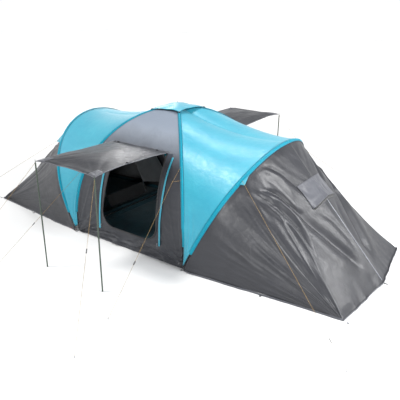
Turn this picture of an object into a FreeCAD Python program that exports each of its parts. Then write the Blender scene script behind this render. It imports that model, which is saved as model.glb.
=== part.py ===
"""Family tunnel tent: a crossed-pole dome with a leaning arch and a pegged sleeping end on each side.

Units are millimetres. The origin is the centre of the footprint at ground level.
+X runs along the tent, +Y points away from the near door, and +Z is up.
The tent is the same on both sides of the XZ and YZ planes, apart from its guy lines.
"""

import FreeCAD, Part
import math
import os

from FreeCAD import Vector

OUT = "parts"

# ---------------------------------------------------------------- driving dimensions
DOME_HALF_X = 1060.0          # dome feet, half spacing along the tent
DOME_HALF_Y = 1270.0          # dome feet, half spacing across the tent
DOME_PEAK = 1950.0            # centreline of the lower dome pole at the crossing
ARCH_FOOT_X = 1060.0          # the arch stands just outboard of the dome feet
ARCH_FOOT_Y = 1318.0
ARCH_APEX_X = 1890.0
ARCH_APEX_Z = 1680.0
DOME_LEG = 200.0              # straight lowest part of a pole, then an arc of the side radius
DOME_SIDE_R = 3000.0
ARCH_LEG = 300.0
ARCH_SIDE_R = 2400.0
END_CORNER_X = 3285.0         # pegged corners of a sleeping end
END_CORNER_Y = 1140.0
END_NOSE_X = 3415.0           # pegged middle of a sleeping end

POLE_R = 5.5                  # fibreglass tube
POLE_BORE_R = 4.0
FERRULE_R = 7.8
FERRULE_BORE_R = 6.5
FERRULE_LENGTH = 80.0
SLEEVE_R = 15.0
SLEEVE_WALL = 1.5
POLE_END_GAP = 42.0           # pole ends stand this far up their line, on the pins
SLEEVE_START = 330.0          # the lowest part of a pole is bare
CROSSING_GAP = 14.0           # dome pole A passes this much above dome pole B

FABRIC = 2.0                  # thickness of every sheet of cloth
EDGE_INSET = 28.0             # cloth edges stand off the pole centrelines
HEM_Z = 4.0                   # lowest edge of the flysheet
FRONT_STOP = 110.0            # the doorway panels and the roof sides stop this far from the crossing
SADDLE_SAG = 130.0            # the roof side sinks this much below a straight line at the peak
END_START = 45.0              # the lowest line of cloth on the arch, up from its foot
END_TURN = 0.86               # share of the arch at which an end's flank turns into its front
END_SAG = 120.0               # an end's flank is drawn in by this much
RIDGE_GAP = 3.0               # half the seam along an end's ridge
DOOR_CUT_Y = -2000.0          # doorways are cut from this depth inwards
DOOR_CUT = 1500.0

DOOR_TOP_Z = 1470.0
DOOR_SILL_Z = 262.0
DOOR_TOP_HALF = 455.0
DOOR_LOW_HALF = 530.0
DOOR_CORNER_R = 230.0
DOOR_SHIFT = 45.0             # doorways and awnings sit this far to the right of the middle

AWNING_HINGE_Y = 906.0        # distance of the hinge line from the middle of the tent
AWNING_HINGE_Z = 1492.0
AWNING_ROOT_HALF = 530.0
AWNING_TIP_HALF = 515.0
AWNING_TIP_Y = 2318.0
AWNING_TIP_Z = 1535.0
AWNING_CROWN = 55.0           # how far the sheet bows up between its hinge and its outer edge

AWNING_POLE_X = 540.0
AWNING_POLE_Y = 2335.0
AWNING_POLE_R = 9.5
AWNING_POLE_WALL = 1.2

GUY_R = 2.0
RUNNER_LENGTH = 52.0
RUNNER_CLEARANCE = 0.4
KNOT_R = 5.0
STRAND_START = 36.0           # a dome guy's short cords start this far from the pole's centreline

POLE_SECTIONS = 7
CAP_REACH = 400.0             # from the crossing to a corner of the roof cap, along a pole
SLEEVE_STOP = 110.0           # sleeves stop this far from the crossing
CAP_LIFT = 42.0               # the roof cap's middle above the crossing
CLIP_BEYOND = 16.0            # a clip sits this far past the corner of the cap
CLIP_SIZE = (34.0, 22.0, 10.0)

PIN_R = 3.7
PIN_START = 3.0
PIN_LENGTH = 75.0
RING_R = 14.0
RING_WIRE_R = 2.5
STRAP_DOME_Y = 1260.0
STRAP_ARCH_Y = 1298.0
STRAP_LENGTH = 160.0
STRAP_GAP = 24.0
WEBBING = 2.4
STRAP_Z = 2.0
STRAP_TOP = 27.0

MESH_GAP = 40.0               # netting hangs this far behind the doorway
MESH_HALF = 600.0
MESH_MARGIN = 30.0

FLOOR_HALF_X = 1000.0
FLOOR_HALF_Y = 1215.0
FLOOR_EDGE = 70.0

CABIN_FRONT_X = 1150.0
CABIN_BACK_X = 3120.0
CABIN_BACK_Y = 1020.0
CABIN_BACK_Z = 60.0
CABIN_FLOOR_Z = 70.0
CABIN_SHRINK = 0.86           # the cabin's front hoop is the arch's, this much smaller
CABIN_LEAN = 0.985
CABIN_ROOF_SHIFT = 45.0
CABIN_WALL_SHIFT = 30.0
CABIN_BACK_TURN = 0.55        # share of the hoop above which the back edge is the cabin's end wall
CABIN_DOOR_R = 480.0
CABIN_DOOR_Z = 880.0
CABIN_DOOR_SILL = 260.0

AWNING_CLEAR = 14.0
AWNING_EDGE_CURVE = 35.0      # the outer and inner edges bow by this much

ZIP_LOW_Z = 190.0
ZIP_TOP_Z = 1440.0
ZIP_LOW_X = 578.0
ZIP_TOP_X = 560.0
ZIP_WIDTH = 30.0
ZIP_LIFT = 9.0
ZIP_THICK = 1.6
ZIP_SLIDER_X = 560.0
ZIP_SLIDER_Y = -1281.0
ZIP_SLIDER_Z = 250.0

VENT_TOP_X = 2279.0
VENT_TOP_Z = 1251.0
VENT_LOW_X = 2500.0
VENT_LOW_Z = 1020.0
VENT_HALF = 365.0
VENT_LIFT_TOP = 14.0
VENT_LIFT_LOW = 26.0
VENT_RIDGE_LIFT = 30.0
VENT_MESH_DEPTH = 45.0
VENT_OUT = (0.74, 0.0, 0.67)  # direction away from the ridge
VENT_CUT_HALF = 305.0
VENT_CUT_DRAFT = 50.0         # the slot is this much narrower at its top on each side
VENT_CUT_LOW = 60.0
VENT_CUT_TOP = 50.0

PEG_R = 3.2
PEG_HEIGHT = 26.0
PEG_HOOK = 18.0
LOOP_HALF = 11.0
LOOP_THICK = 2.4
LOOP_Z = 1.0

STRAND_HEIGHTS = (1373.0, 1200.0)
TAB_TOP_Z = 1400.0            # a guy tab is sewn to the arch between these heights
TAB_LOW_Z = 1320.0
TAB_EDGE = 22.0
TAB_START = 4.0

SPIKE_R = 3.0
SPIKE_LENGTH = 40.0

X_SIDES = {"left": -1, "right": 1}
Y_SIDES = {"near": -1, "far": 1}


# ---------------------------------------------------------------- bent poles
class Pole:
    """A pole bent in one plane: a straight leg, a gentle side arc and a crown arc, the same on both halves.

    Positions along it are arc lengths from the first foot.
    """

    def __init__(self, middle, across, up, half_span, rise, leg, side_radius):
        self.middle, self.across, self.up = middle, across, up
        self.half_span, self.rise, self.leg, self.side_radius = half_span, rise, leg, side_radius
        ratio = (side_radius - (rise - leg)) / (side_radius - half_span)
        self.side_angle = math.pi / 2 - 2 * math.atan(ratio)
        self.crown_radius = side_radius - (side_radius - half_span) / math.cos(self.side_angle)
        self.side_length = side_radius * self.side_angle
        self.crown_length = self.crown_radius * (math.pi / 2 - self.side_angle)
        self.half_length = leg + self.side_length + self.crown_length
        self.length = 2 * self.half_length
        self.breaks = [0, leg, leg + self.side_length]
        self.breaks += [self.length - b for b in reversed(self.breaks)]

    def flat(self, along):
        """(across, up) in the pole's plane, and the direction of travel there."""
        mirrored = along > self.half_length
        s = self.length - along if mirrored else along
        if s <= self.leg:
            a, h, turn = self.half_span, s, 0.0
        elif s <= self.leg + self.side_length:
            turn = (s - self.leg) / self.side_radius
            a = self.half_span - self.side_radius * (1 - math.cos(turn))
            h = self.leg + self.side_radius * math.sin(turn)
        else:
            turn = self.side_angle + (s - self.leg - self.side_length) / self.crown_radius
            a = self.crown_radius * math.cos(turn)
            h = self.rise - self.crown_radius * (1 - math.sin(turn))
        if mirrored:
            return -a, h, (-math.sin(turn), -math.cos(turn))
        return a, h, (-math.sin(turn), math.cos(turn))

    def point(self, along):
        a, h, _ = self.flat(along)
        return self.middle + self.across * a + self.up * h

    def direction(self, along):
        _, _, (da, dh) = self.flat(along)
        return self.across * da + self.up * dh

    def at_height(self, z):
        """Arc length at which the first half of the pole passes height z."""
        low, high = 0.0, self.half_length
        for _ in range(50):
            mid = (low + high) / 2
            low, high = (mid, high) if self.point(mid).z < z else (low, mid)
        return low

    def path(self, start, end):
        """The centreline from start to end as straight and circular edges."""
        inner = [b for b in self.breaks if start + 1 < b < end - 1]
        stops = [start] + inner + [end]
        edges = []
        for a, b in zip(stops, stops[1:]):
            p, m, q = self.point(a), self.point((a + b) / 2), self.point(b)
            straight = (m - (p + q) * 0.5).Length < 1e-6
            edges.append((Part.LineSegment(p, q) if straight else Part.Arc(p, m, q)).toShape())
        return Part.Wire(edges)

    def rod(self, start, end, radius):
        circle = Part.Circle(self.point(start), self.direction(start), radius).toShape()
        return self.path(start, end).makePipe(Part.Face(Part.Wire([circle])))

    def tube(self, start, end, radius, bore):
        return self.rod(start, end, radius).cut(self.rod(start, end, bore))


def dome_pole(sx, lift):
    """The dome pole that runs from the near foot on side sx to the far foot on the other side."""
    span = math.hypot(DOME_HALF_X, DOME_HALF_Y)
    across = Vector(sx * DOME_HALF_X, -DOME_HALF_Y, 0) / span
    return Pole(Vector(0, 0, 0), across, Vector(0, 0, 1), span, DOME_PEAK + lift, DOME_LEG + lift, DOME_SIDE_R)


def arch_pole(sx):
    lean = Vector(sx * (ARCH_APEX_X - ARCH_FOOT_X), 0, ARCH_APEX_Z)
    up = lean / lean.Length
    foot = Vector(sx * ARCH_FOOT_X, 0, 0)
    return Pole(foot, Vector(0, -1, 0), up, ARCH_FOOT_Y, lean.Length, ARCH_LEG, ARCH_SIDE_R)


POLE_A = dome_pole(1, CROSSING_GAP)      # near right to far left, on top at the crossing
POLE_B = dome_pole(-1, 0.0)              # near left to far right
DOME = dome_pole(1, 0.0)                 # the line that the cloth follows under both dome poles
ARCHES = {side: arch_pole(sx) for side, sx in X_SIDES.items()}


# ---------------------------------------------------------------- sheets of cloth
def polygon_face(points):
    return Part.Face(Part.makePolygon(list(points) + [points[0]]))


def solid_of(points, triangles):
    shape = Part.Shape()
    shape.makeShapeFromMesh((points, triangles), 0.01)
    solid = Part.makeSolid(shape)
    if solid.Volume < 0:
        solid.reverse()
    return solid.removeSplitter()


def cloth(rows, outward, thickness=FABRIC):
    """A closed sheet whose outer face passes through a grid of points, rows of equal length.

    outward is a point on the outer side of the sheet. Neighbouring points that coincide are joined.
    """
    count_i, count_j = len(rows), len(rows[0])

    def clipped(i, j):
        return rows[min(max(i, 0), count_i - 1)][min(max(j, 0), count_j - 1)]

    points, index = [], {}

    def number(p):
        key = (round(p.x, 3), round(p.y, 3), round(p.z, 3))
        if key not in index:
            index[key] = len(points)
            points.append(Vector(p))
        return index[key]

    middle = rows[count_i // 2][count_j // 2]
    outer, inner = [], []
    for i in range(count_i):
        outer_row, inner_row = [], []
        for j in range(count_j):
            normal = (clipped(i + 1, j) - clipped(i - 1, j)).cross(clipped(i, j + 1) - clipped(i, j - 1))
            if normal.Length < 1e-6:
                k = i + (1 if i < count_i / 2 else -1)
                m = j + (1 if j < count_j / 2 else -1)
                normal = (clipped(k + 1, m) - clipped(k - 1, m)).cross(clipped(k, m + 1) - clipped(k, m - 1))
            normal.normalize()
            if normal.dot(outward - middle) < 0:
                normal = normal * -1
            outer_row.append(number(rows[i][j]))
            inner_row.append((rows[i][j], normal))
        outer.append(outer_row)
        inner.append(inner_row)

    # points that coincide on the outer face share one inner point
    inside, shared = [], {}
    for i in range(count_i):
        line = []
        for j in range(count_j):
            key = outer[i][j]
            if key not in shared:
                p, normal = inner[i][j]
                shared[key] = number(p - normal * thickness)
            line.append(shared[key])
        inside.append(line)

    triangles = []

    def quad(a, b, c, d):
        for t in ((a, b, c), (a, c, d)):
            if len(set(t)) == 3:
                triangles.append(t)

    last_i, last_j = count_i - 1, count_j - 1
    for i in range(last_i):
        for j in range(last_j):
            quad(outer[i][j], outer[i + 1][j], outer[i + 1][j + 1], outer[i][j + 1])
            quad(inside[i][j], inside[i][j + 1], inside[i + 1][j + 1], inside[i + 1][j])
    for i in range(last_i):
        quad(outer[i][0], inside[i][0], inside[i + 1][0], outer[i + 1][0])
        quad(outer[i + 1][last_j], inside[i + 1][last_j], inside[i][last_j], outer[i][last_j])
    for j in range(last_j):
        quad(outer[0][j + 1], inside[0][j + 1], inside[0][j], outer[0][j])
        quad(outer[last_i][j], inside[last_i][j], inside[last_i][j + 1], outer[last_i][j + 1])
    return solid_of(points, triangles)


def steps(start, end, count):
    return [start + (end - start) * k / count for k in range(count + 1)]


def mirror_x(shape):
    return shape.mirror(Vector(0, 0, 0), Vector(1, 0, 0))


def mirror_y(shape):
    return shape.mirror(Vector(0, 0, 0), Vector(0, 1, 0))


def placed(shape, sx=1, sy=-1):
    """A shape drawn on the right near side, moved to side sx, sy."""
    shape = mirror_x(shape) if sx < 0 else shape
    return mirror_y(shape) if sy > 0 else shape


def on_four_sides(shape):
    """Copies of a right near shape on all four sides of the tent."""
    return [placed(shape, sx, sy) for sx in X_SIDES.values() for sy in Y_SIDES.values()]


def at_door(shape):
    """A shape drawn about the middle of a doorway, moved to where the doorway is."""
    return shape.translated(Vector(DOOR_SHIFT, 0, 0))


def prism(points, reach):
    return polygon_face(points).extrude(reach)


def box(low, high):
    size = [b - a for a, b in zip(low, high)]
    return Part.makeBox(*size, Vector(*low))


# ---------------------------------------------------------------- flysheet
def door_outline(grow, y):
    """The doorway's outline at depth y: sides that close towards the top, and round lower corners."""
    top, low = DOOR_TOP_HALF + grow, DOOR_LOW_HALF + grow
    sill, head, r = DOOR_SILL_Z - grow, DOOR_TOP_Z + grow, DOOR_CORNER_R + grow
    bend = Vector(low - r * (1 - math.sqrt(0.5)), y, sill + r * (1 - math.sqrt(0.5)))
    left_bend = Vector(-bend.x, y, bend.z)
    edges = [
        Part.LineSegment(Vector(-top, y, head), Vector(top, y, head)),
        Part.LineSegment(Vector(top, y, head), Vector(low, y, sill + r)),
        Part.Arc(Vector(low, y, sill + r), bend, Vector(low - r, y, sill)),
        Part.LineSegment(Vector(low - r, y, sill), Vector(r - low, y, sill)),
        Part.Arc(Vector(r - low, y, sill), left_bend, Vector(-low, y, sill + r)),
        Part.LineSegment(Vector(-low, y, sill + r), Vector(-top, y, head)),
    ]
    return Part.Wire([e.toShape() for e in edges])


def dome_front():
    """The near quarter of the dome, between the two dome poles, with its doorway."""
    stops = steps(HEM_Z, DOME.leg, 1) + steps(DOME.leg, DOME.half_length - FRONT_STOP, 13)[1:]
    rows = []
    for along in stops:
        p = DOME.point(along)
        half = p.x - EDGE_INSET
        rows.append([Vector(-half, p.y, p.z), Vector(half, p.y, p.z)])
    panel = cloth(rows, Vector(0, -5000, 1500))
    doorway = Part.Face(door_outline(0, DOOR_CUT_Y)).extrude(Vector(0, DOOR_CUT, 0))
    return panel.cut(at_door(doorway))


def saddle(p, q, count, sag):
    """Points from p to q, sagging downwards between them."""
    line = []
    for k in range(count + 1):
        t = k / count
        line.append(p + (q - p) * t - Vector(0, 0, 1) * (4 * sag * t * (1 - t)))
    return line


def inset(p, q, gap):
    """Both ends of the line from p to q, moved in by gap."""
    d = q - p
    gap = min(gap, d.Length * 0.3)
    d.normalize()
    return p + d * gap, q - d * gap


def dome_side():
    """The right side of the roof: from the right halves of the dome poles out to the right arch."""
    arch = ARCHES["right"]
    rows = []
    low_share = FRONT_STOP / DOME.half_length
    for k in steps(low_share, 2 - low_share, 22):
        share = k if k <= 1 else 2 - k
        p = DOME.point(share * DOME.half_length)
        if k > 1:
            p.y = -p.y
        q = arch.point(k * arch.half_length)
        p, q = inset(p, q, EDGE_INSET)
        rows.append(saddle(p, q, 4, SADDLE_SAG * share ** 3))
    return cloth(rows, Vector(1000, 0, 6000))


def end_half():
    """The near half of the right end: a fan from the corner peg to the arch, then up to the ridge seam."""
    arch = ARCHES["right"]
    corner = Vector(END_CORNER_X, -END_CORNER_Y, HEM_Z)
    nose = Vector(END_NOSE_X, -RIDGE_GAP, HEM_Z)
    rows = []
    for share in steps(END_START / arch.half_length, END_TURN, 9):
        p = arch.point(share * arch.half_length)
        start, _ = inset(p, corner, EDGE_INSET)
        rows.append(sagging(start, corner, share))
    for t in steps(0, 1, 4)[1:]:
        share = END_TURN + (1 - END_TURN) * t
        p = arch.point(share * arch.half_length)
        hem = corner + (nose - corner) * t
        if t == 1:
            p.y = -RIDGE_GAP
        start, _ = inset(p, hem, EDGE_INSET)
        rows.append(sagging(start, hem, share))
    return cloth(rows, Vector(3000, -4000, 3000))


def sagging(p, q, share):
    """A line of cloth from arch to hem, drawn in most on the flank and least at the ridge and the ground."""
    depth = END_SAG * math.sin(math.pi * share) ** 0.7 if share < 0.999 else 0.0
    inward = Vector(-0.35, 0.55, -0.75)
    line = []
    count = 5
    for k in range(count + 1):
        t = k / count
        line.append(p + (q - p) * t + inward * (4 * depth * t * (1 - t)))
    return line


def mirrored_pair(half):
    """A half drawn on the near side, and its mirror on the far side, as two sewn pieces."""
    return Part.makeCompound([half, mirror_y(half)])


def fly_front(sy):
    return placed(dome_front(), 1, sy)


def vent_hole():
    """A slot across the ridge of the right end, which the hood covers."""
    low, high = VENT_LOW_Z + VENT_CUT_LOW, VENT_TOP_Z - VENT_CUT_TOP
    start = ARCH_APEX_X + 110.0
    top_half = VENT_CUT_HALF - VENT_CUT_DRAFT
    outline = [Vector(start, -VENT_CUT_HALF, low), Vector(start, VENT_CUT_HALF, low)]
    outline += [Vector(start, top_half, high), Vector(start, -top_half, high)]
    return prism(outline, Vector(800, 0, 0))


def fly_end(sx):
    half = end_half().cut(vent_hole())
    return placed(mirrored_pair(half), sx)


def door_lining():
    """Mesh that closes a doorway from inside, a little larger than the doorway."""
    rows = []
    for along in steps(DOME.at_height(DOOR_SILL_Z - MESH_GAP), DOME.at_height(DOOR_TOP_Z + MESH_MARGIN), 9):
        p = DOME.point(along)
        rows.append([Vector(-MESH_HALF, p.y + MESH_GAP, p.z), Vector(MESH_HALF, p.y + MESH_GAP, p.z)])
    panel = cloth(rows, Vector(0, -5000, 1500))
    outline = Part.Face(door_outline(MESH_MARGIN, DOOR_CUT_Y)).extrude(Vector(0, DOOR_CUT, 0))
    return at_door(panel.common(outline))


def roof_cap():
    """A square patch over the crossing, its corners on the poles."""
    reach_x = CAP_REACH * DOME.across.x
    reach_y = CAP_REACH * -DOME.across.y
    rows = []
    for u in steps(-1, 1, 6):
        row = []
        for v in steps(-1, 1, 6):
            away = math.hypot(u, v) * CAP_REACH * math.sqrt(0.5)
            drop = DOME.crown_radius - math.sqrt(DOME.crown_radius ** 2 - away ** 2)
            row.append(Vector(u * reach_x, v * reach_y, DOME_PEAK + CAP_LIFT - drop))
        rows.append(row)
    return cloth(rows, Vector(0, 0, 9000))


def roof_cap_clips():
    """Black hooks that fasten the cap's corners to the poles."""
    clips = []
    for pole in (POLE_A, POLE_B):
        for side in (-1, 1):
            along = pole.half_length + side * (CAP_REACH + CLIP_BEYOND)
            length, width, height = CLIP_SIZE
            block = Part.makeBox(length, width, height, Vector(-length / 2, -width / 2, SLEEVE_R + 1.0))
            clips.append(block.transformGeometry(frame_at(pole, along)))
    return Part.makeCompound(clips)


def frame_at(pole, along):
    """Matrix that puts X along the pole and Z away from its inner side."""
    x = pole.direction(along)
    z = x.cross(pole.up.cross(pole.across))
    z = z if z.z > 0 else z * -1
    y = z.cross(x)
    p = pole.point(along)
    rows = [(x.x, y.x, z.x, p.x), (x.y, y.y, z.y, p.y), (x.z, y.z, z.z, p.z), (0, 0, 0, 1)]
    return FreeCAD.Matrix(*[value for row in rows for value in row])


# ---------------------------------------------------------------- frame
def ferrules():
    shapes = []
    for pole in (POLE_A, POLE_B, ARCHES["left"], ARCHES["right"]):
        for k in range(1, POLE_SECTIONS):
            middle = pole.length * k / POLE_SECTIONS
            start, end = middle - FERRULE_LENGTH / 2, middle + FERRULE_LENGTH / 2
            shapes.append(pole.tube(start, end, FERRULE_R, FERRULE_BORE_R))
    return Part.makeCompound(shapes)


def pole_tube(pole):
    return pole.tube(POLE_END_GAP, pole.length - POLE_END_GAP, POLE_R, POLE_BORE_R)


def sleeve(pole, start, end):
    return pole.tube(start, end, SLEEVE_R, SLEEVE_R - SLEEVE_WALL)


def dome_sleeves(pole):
    """Two lengths of tunnel that stop short of the crossing."""
    lower = sleeve(pole, SLEEVE_START, pole.half_length - SLEEVE_STOP)
    upper = sleeve(pole, pole.half_length + SLEEVE_STOP, pole.length - SLEEVE_START)
    return Part.makeCompound([lower, upper])


def arch_sleeve(arch):
    return sleeve(arch, SLEEVE_START, arch.length - SLEEVE_START)


def pole_feet():
    """The eight places where a pole stands: the foot point and the direction up the pole."""
    feet = []
    for pole in (POLE_A, POLE_B, ARCHES["left"], ARCHES["right"]):
        feet.append((pole.point(0), pole.direction(0)))
        feet.append((pole.point(pole.length), pole.direction(pole.length) * -1))
    return feet


def foot_pins():
    """A ring on the ground with a pin that stands in the end of the pole."""
    pins = []
    for p, up in pole_feet():
        pin = Part.makeCylinder(PIN_R, PIN_LENGTH, p + up * PIN_START, up)
        collar = Part.makeCylinder(POLE_R + 1.5, 6.0, p + up * (POLE_END_GAP - 7.0), up)
        ring = Part.makeTorus(RING_R, RING_WIRE_R, Vector(p.x, p.y, RING_WIRE_R + 1.0))
        start = Vector(p.x, p.y - RING_R, RING_WIRE_R + 1.0)
        cross_bar = Part.makeCylinder(RING_WIRE_R, 2 * RING_R, start, Vector(0, 1, 0))
        pins.append(pin.fuse([collar, ring, cross_bar]))
    return Part.makeCompound(pins)


def foot_straps():
    """Webbing inside the hem beside each foot ring: one for the dome, one for the arch."""
    straps = []
    for near_x, far_x, y in ((DOME_HALF_X - STRAP_LENGTH, DOME_HALF_X - STRAP_GAP, -STRAP_DOME_Y),
                             (ARCH_FOOT_X + STRAP_GAP, ARCH_FOOT_X + STRAP_LENGTH, -STRAP_ARCH_Y)):
        strap = box([near_x, y, STRAP_Z], [far_x, y + WEBBING, STRAP_TOP])
        straps += on_four_sides(strap)
    return Part.makeCompound(straps)


# ---------------------------------------------------------------- floors and inner cabins
def tray(low, high, wall, height):
    """An open tray of groundsheet, with its sides turned up."""
    outer = box(low, [high[0], high[1], height])
    inner = box([v + wall for v in low], [high[0] - wall, high[1] - wall, height + 1])
    return outer.cut(inner)


def groundsheet():
    return tray([-FLOOR_HALF_X, -FLOOR_HALF_Y, 0], [FLOOR_HALF_X, FLOOR_HALF_Y, 0], FABRIC, FLOOR_EDGE)


def cabin_hoop_point(share, shrink, shift):
    """A point of the hoop that the cabin hangs from, inside the arch."""
    arch = ARCHES["right"]
    p = arch.point(share * arch.half_length)
    return Vector(p.x * CABIN_LEAN + shift, p.y * shrink, CABIN_FLOOR_Z + p.z * shrink)


def cabin_roof():
    """The near half of the cabin's walls and roof: from its front hoop to its low back edge."""
    rows = []
    for share in steps(0.03, 1.0, 8):
        front = cabin_hoop_point(share, CABIN_SHRINK, CABIN_ROOF_SHIFT)
        back_y = -CABIN_BACK_Y * (1 - max(0.0, share - CABIN_BACK_TURN) / (1 - CABIN_BACK_TURN))
        back = Vector(CABIN_BACK_X, back_y, CABIN_FLOOR_Z + CABIN_BACK_Z * min(1.0, share * 3))
        if share == 1.0:
            front.y = -2.0
            back.y = -2.0
        rows.append(sagging(front, back, share))
    return cloth(rows, Vector(3000, -4000, 3000))


def cabin_front():
    """The cabin's front wall, in the plane of its front hoop, with a D-shaped doorway."""
    shrink = CABIN_SHRINK - 0.01
    rim = [cabin_hoop_point(share, shrink, CABIN_WALL_SHIFT) for share in steps(0.04, 1.96, 20)]
    first, last = rim[0], rim[-1]
    normal = (rim[10] - first).cross(last - first)
    normal.normalize()
    flat = [p - normal * normal.dot(p - first) for p in rim]
    wall = Part.Face(Part.makePolygon(flat + [flat[0]])).extrude(normal * FABRIC)
    door = Part.makeCylinder(CABIN_DOOR_R, 2000, Vector(400, 0, CABIN_DOOR_Z), Vector(1, 0, 0))
    lower = box([400, -CABIN_DOOR_R, CABIN_DOOR_SILL], [2400, CABIN_DOOR_R, CABIN_DOOR_Z])
    return wall.cut(door.fuse(lower))


def inner_cabin(sx):
    low, high = [CABIN_FRONT_X, -CABIN_BACK_Y, 0], [CABIN_BACK_X - 6.0, CABIN_BACK_Y, 0]
    floor = tray(low, high, FABRIC, CABIN_FLOOR_Z - 4.0)
    pieces = [floor, cabin_front(), cabin_roof(), mirror_y(cabin_roof())]
    return placed(Part.makeCompound(pieces), sx)


# ---------------------------------------------------------------- awnings and door details
def awning():
    """The near door flap, raised: from its hinge line out to the two poles."""
    rows = []
    for t in steps(0, 1, 6):
        half = AWNING_ROOT_HALF + (AWNING_TIP_HALF - AWNING_ROOT_HALF) * t
        y = -(AWNING_HINGE_Y + (AWNING_TIP_Y - AWNING_HINGE_Y) * t)
        z = AWNING_HINGE_Z + AWNING_CLEAR + (AWNING_TIP_Z - AWNING_HINGE_Z - AWNING_CLEAR) * t
        row = []
        for u in steps(-1, 1, 6):
            crown = AWNING_CROWN * 4 * t * (1 - t) * (1 - 0.35 * u * u)
            edge = AWNING_EDGE_CURVE * (1 - u * u) * (2 * t - 1)
            row.append(Vector(u * half, y + edge, z + crown))
        rows.append(row)
    return cloth(rows, Vector(0, -1500, 9000))


def awning_pole(sx, sy):
    """A steel tube in three lengths, with a spike on top."""
    place = Vector(AWNING_POLE_X, -AWNING_POLE_Y, 0)
    tube = Part.makeCylinder(AWNING_POLE_R, AWNING_TIP_Z - 30.0, place)
    bore = Part.makeCylinder(AWNING_POLE_R - AWNING_POLE_WALL, AWNING_TIP_Z - 42.0, place)
    tube = tube.cut(bore)
    spike = Part.makeCylinder(SPIKE_R, SPIKE_LENGTH, place + Vector(0, 0, AWNING_TIP_Z - 32.0))
    return at_door(placed(tube.fuse(spike), sx, sy))


def zip_flap():
    """A strip of cloth that guards the door's zip, on the right of the near door."""
    rows = []
    for z in steps(ZIP_LOW_Z, ZIP_TOP_Z, 9):
        p = DOME.point(DOME.at_height(z))
        edge = ZIP_LOW_X + (ZIP_TOP_X - ZIP_LOW_X) * (z - ZIP_LOW_Z) / (ZIP_TOP_Z - ZIP_LOW_Z)
        rows.append([Vector(edge, p.y - ZIP_LIFT, z), Vector(edge + ZIP_WIDTH, p.y - ZIP_LIFT, z)])
    return cloth(rows, Vector(0, -5000, 1000), ZIP_THICK)


def zip_flaps():
    return at_door(Part.makeCompound(on_four_sides(zip_flap())))


def zip_slider(sx, sy):
    """The slider of a door zip, with its pull, on the straight lower run."""
    x, y, z = ZIP_SLIDER_X, ZIP_SLIDER_Y, ZIP_SLIDER_Z
    body = box([x - 5.0, y - 7.0, z], [x + 5.0, y, z + 16.0])
    pull = box([x - 3.0, y - 9.5, z - 34.0], [x + 3.0, y - 7.5, z + 8.0])
    bridge = box([x - 2.0, y - 8.0, z + 2.0], [x + 2.0, y - 6.0, z + 7.0])
    return at_door(placed(body.fuse([pull, bridge]), sx, sy))


def vent_hood(sx):
    """The flap over the vent of the right end: a shallow pitched sheet, highest along the ridge."""
    out = Vector(*VENT_OUT)
    rows = []
    for k in range(3):
        top = Vector(VENT_TOP_X, 0, VENT_TOP_Z)
        low = Vector(VENT_LOW_X, 0, VENT_LOW_Z)
        corner_top = Vector(VENT_TOP_X - 21.0, -VENT_HALF, VENT_TOP_Z - 21.0)
        corner_low = Vector(VENT_LOW_X - 3.0, -VENT_HALF, VENT_LOW_Z - 55.0)
        lift = VENT_LIFT_TOP + (VENT_LIFT_LOW - VENT_LIFT_TOP) * k / 2
        mid = top + (low - top) * (k / 2) + out * (lift + VENT_RIDGE_LIFT * k / 2)
        edge = corner_top + (corner_low - corner_top) * (k / 2) + out * lift
        rows.append([edge, mid, Vector(edge.x, -edge.y, edge.z)])
    return placed(cloth(rows, Vector(9000, 0, 9000)), sx)


def vent_mesh():
    """Netting behind both vents."""
    out = Vector(*VENT_OUT)
    meshes = []
    for sx in X_SIDES.values():
        for side in (-1, 1):
            top = Vector(VENT_TOP_X + 10.0, side * 2.0, VENT_TOP_Z - 20.0) - out * VENT_MESH_DEPTH
            low = Vector(VENT_LOW_X - 20.0, side * 2.0, VENT_LOW_Z + 30.0) - out * VENT_MESH_DEPTH
            step = Vector(-22.0, side * (VENT_HALF - 60.0), -18.0)
            rows = [[top, top + step], [low, low + step]]
            meshes.append(placed(cloth(rows, Vector(9000, 0, 9000)), sx))
    return Part.makeCompound(meshes)


# ---------------------------------------------------------------- guy lines
def bar(start, end, radius):
    return Part.makeCylinder(radius, (end - start).Length, start, end - start)


def runner(start, end, share):
    """A plastic line-runner on a guy line, at a share of the way down it."""
    way = end - start
    way.normalize()
    middle = start + (end - start) * share
    block = Part.makeBox(14, 7, RUNNER_LENGTH, Vector(-7, -3.5, -RUNNER_LENGTH / 2))
    bore = Part.makeCylinder(GUY_R + RUNNER_CLEARANCE, RUNNER_LENGTH, Vector(0, 0, -RUNNER_LENGTH / 2))
    block = block.cut(bore)
    block.Placement = FreeCAD.Placement(middle, FreeCAD.Rotation(Vector(0, 0, 1), way))
    return block


GUYS = {
    "awning": (Vector(AWNING_POLE_X + 7.0, -AWNING_POLE_Y - 5.0, AWNING_TIP_Z - 40.0),
               Vector(1238.0, -3400.0, 14.0), 0.43),
    "dome": (Vector(800.0, -1165.0, 1190.0), Vector(1079.0, -2720.0, 14.0), 0.63),
    "arch": (Vector(1740.0, -935.0, 1338.0), Vector(3613.0, -1944.0, 14.0), 0.87),
}


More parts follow.
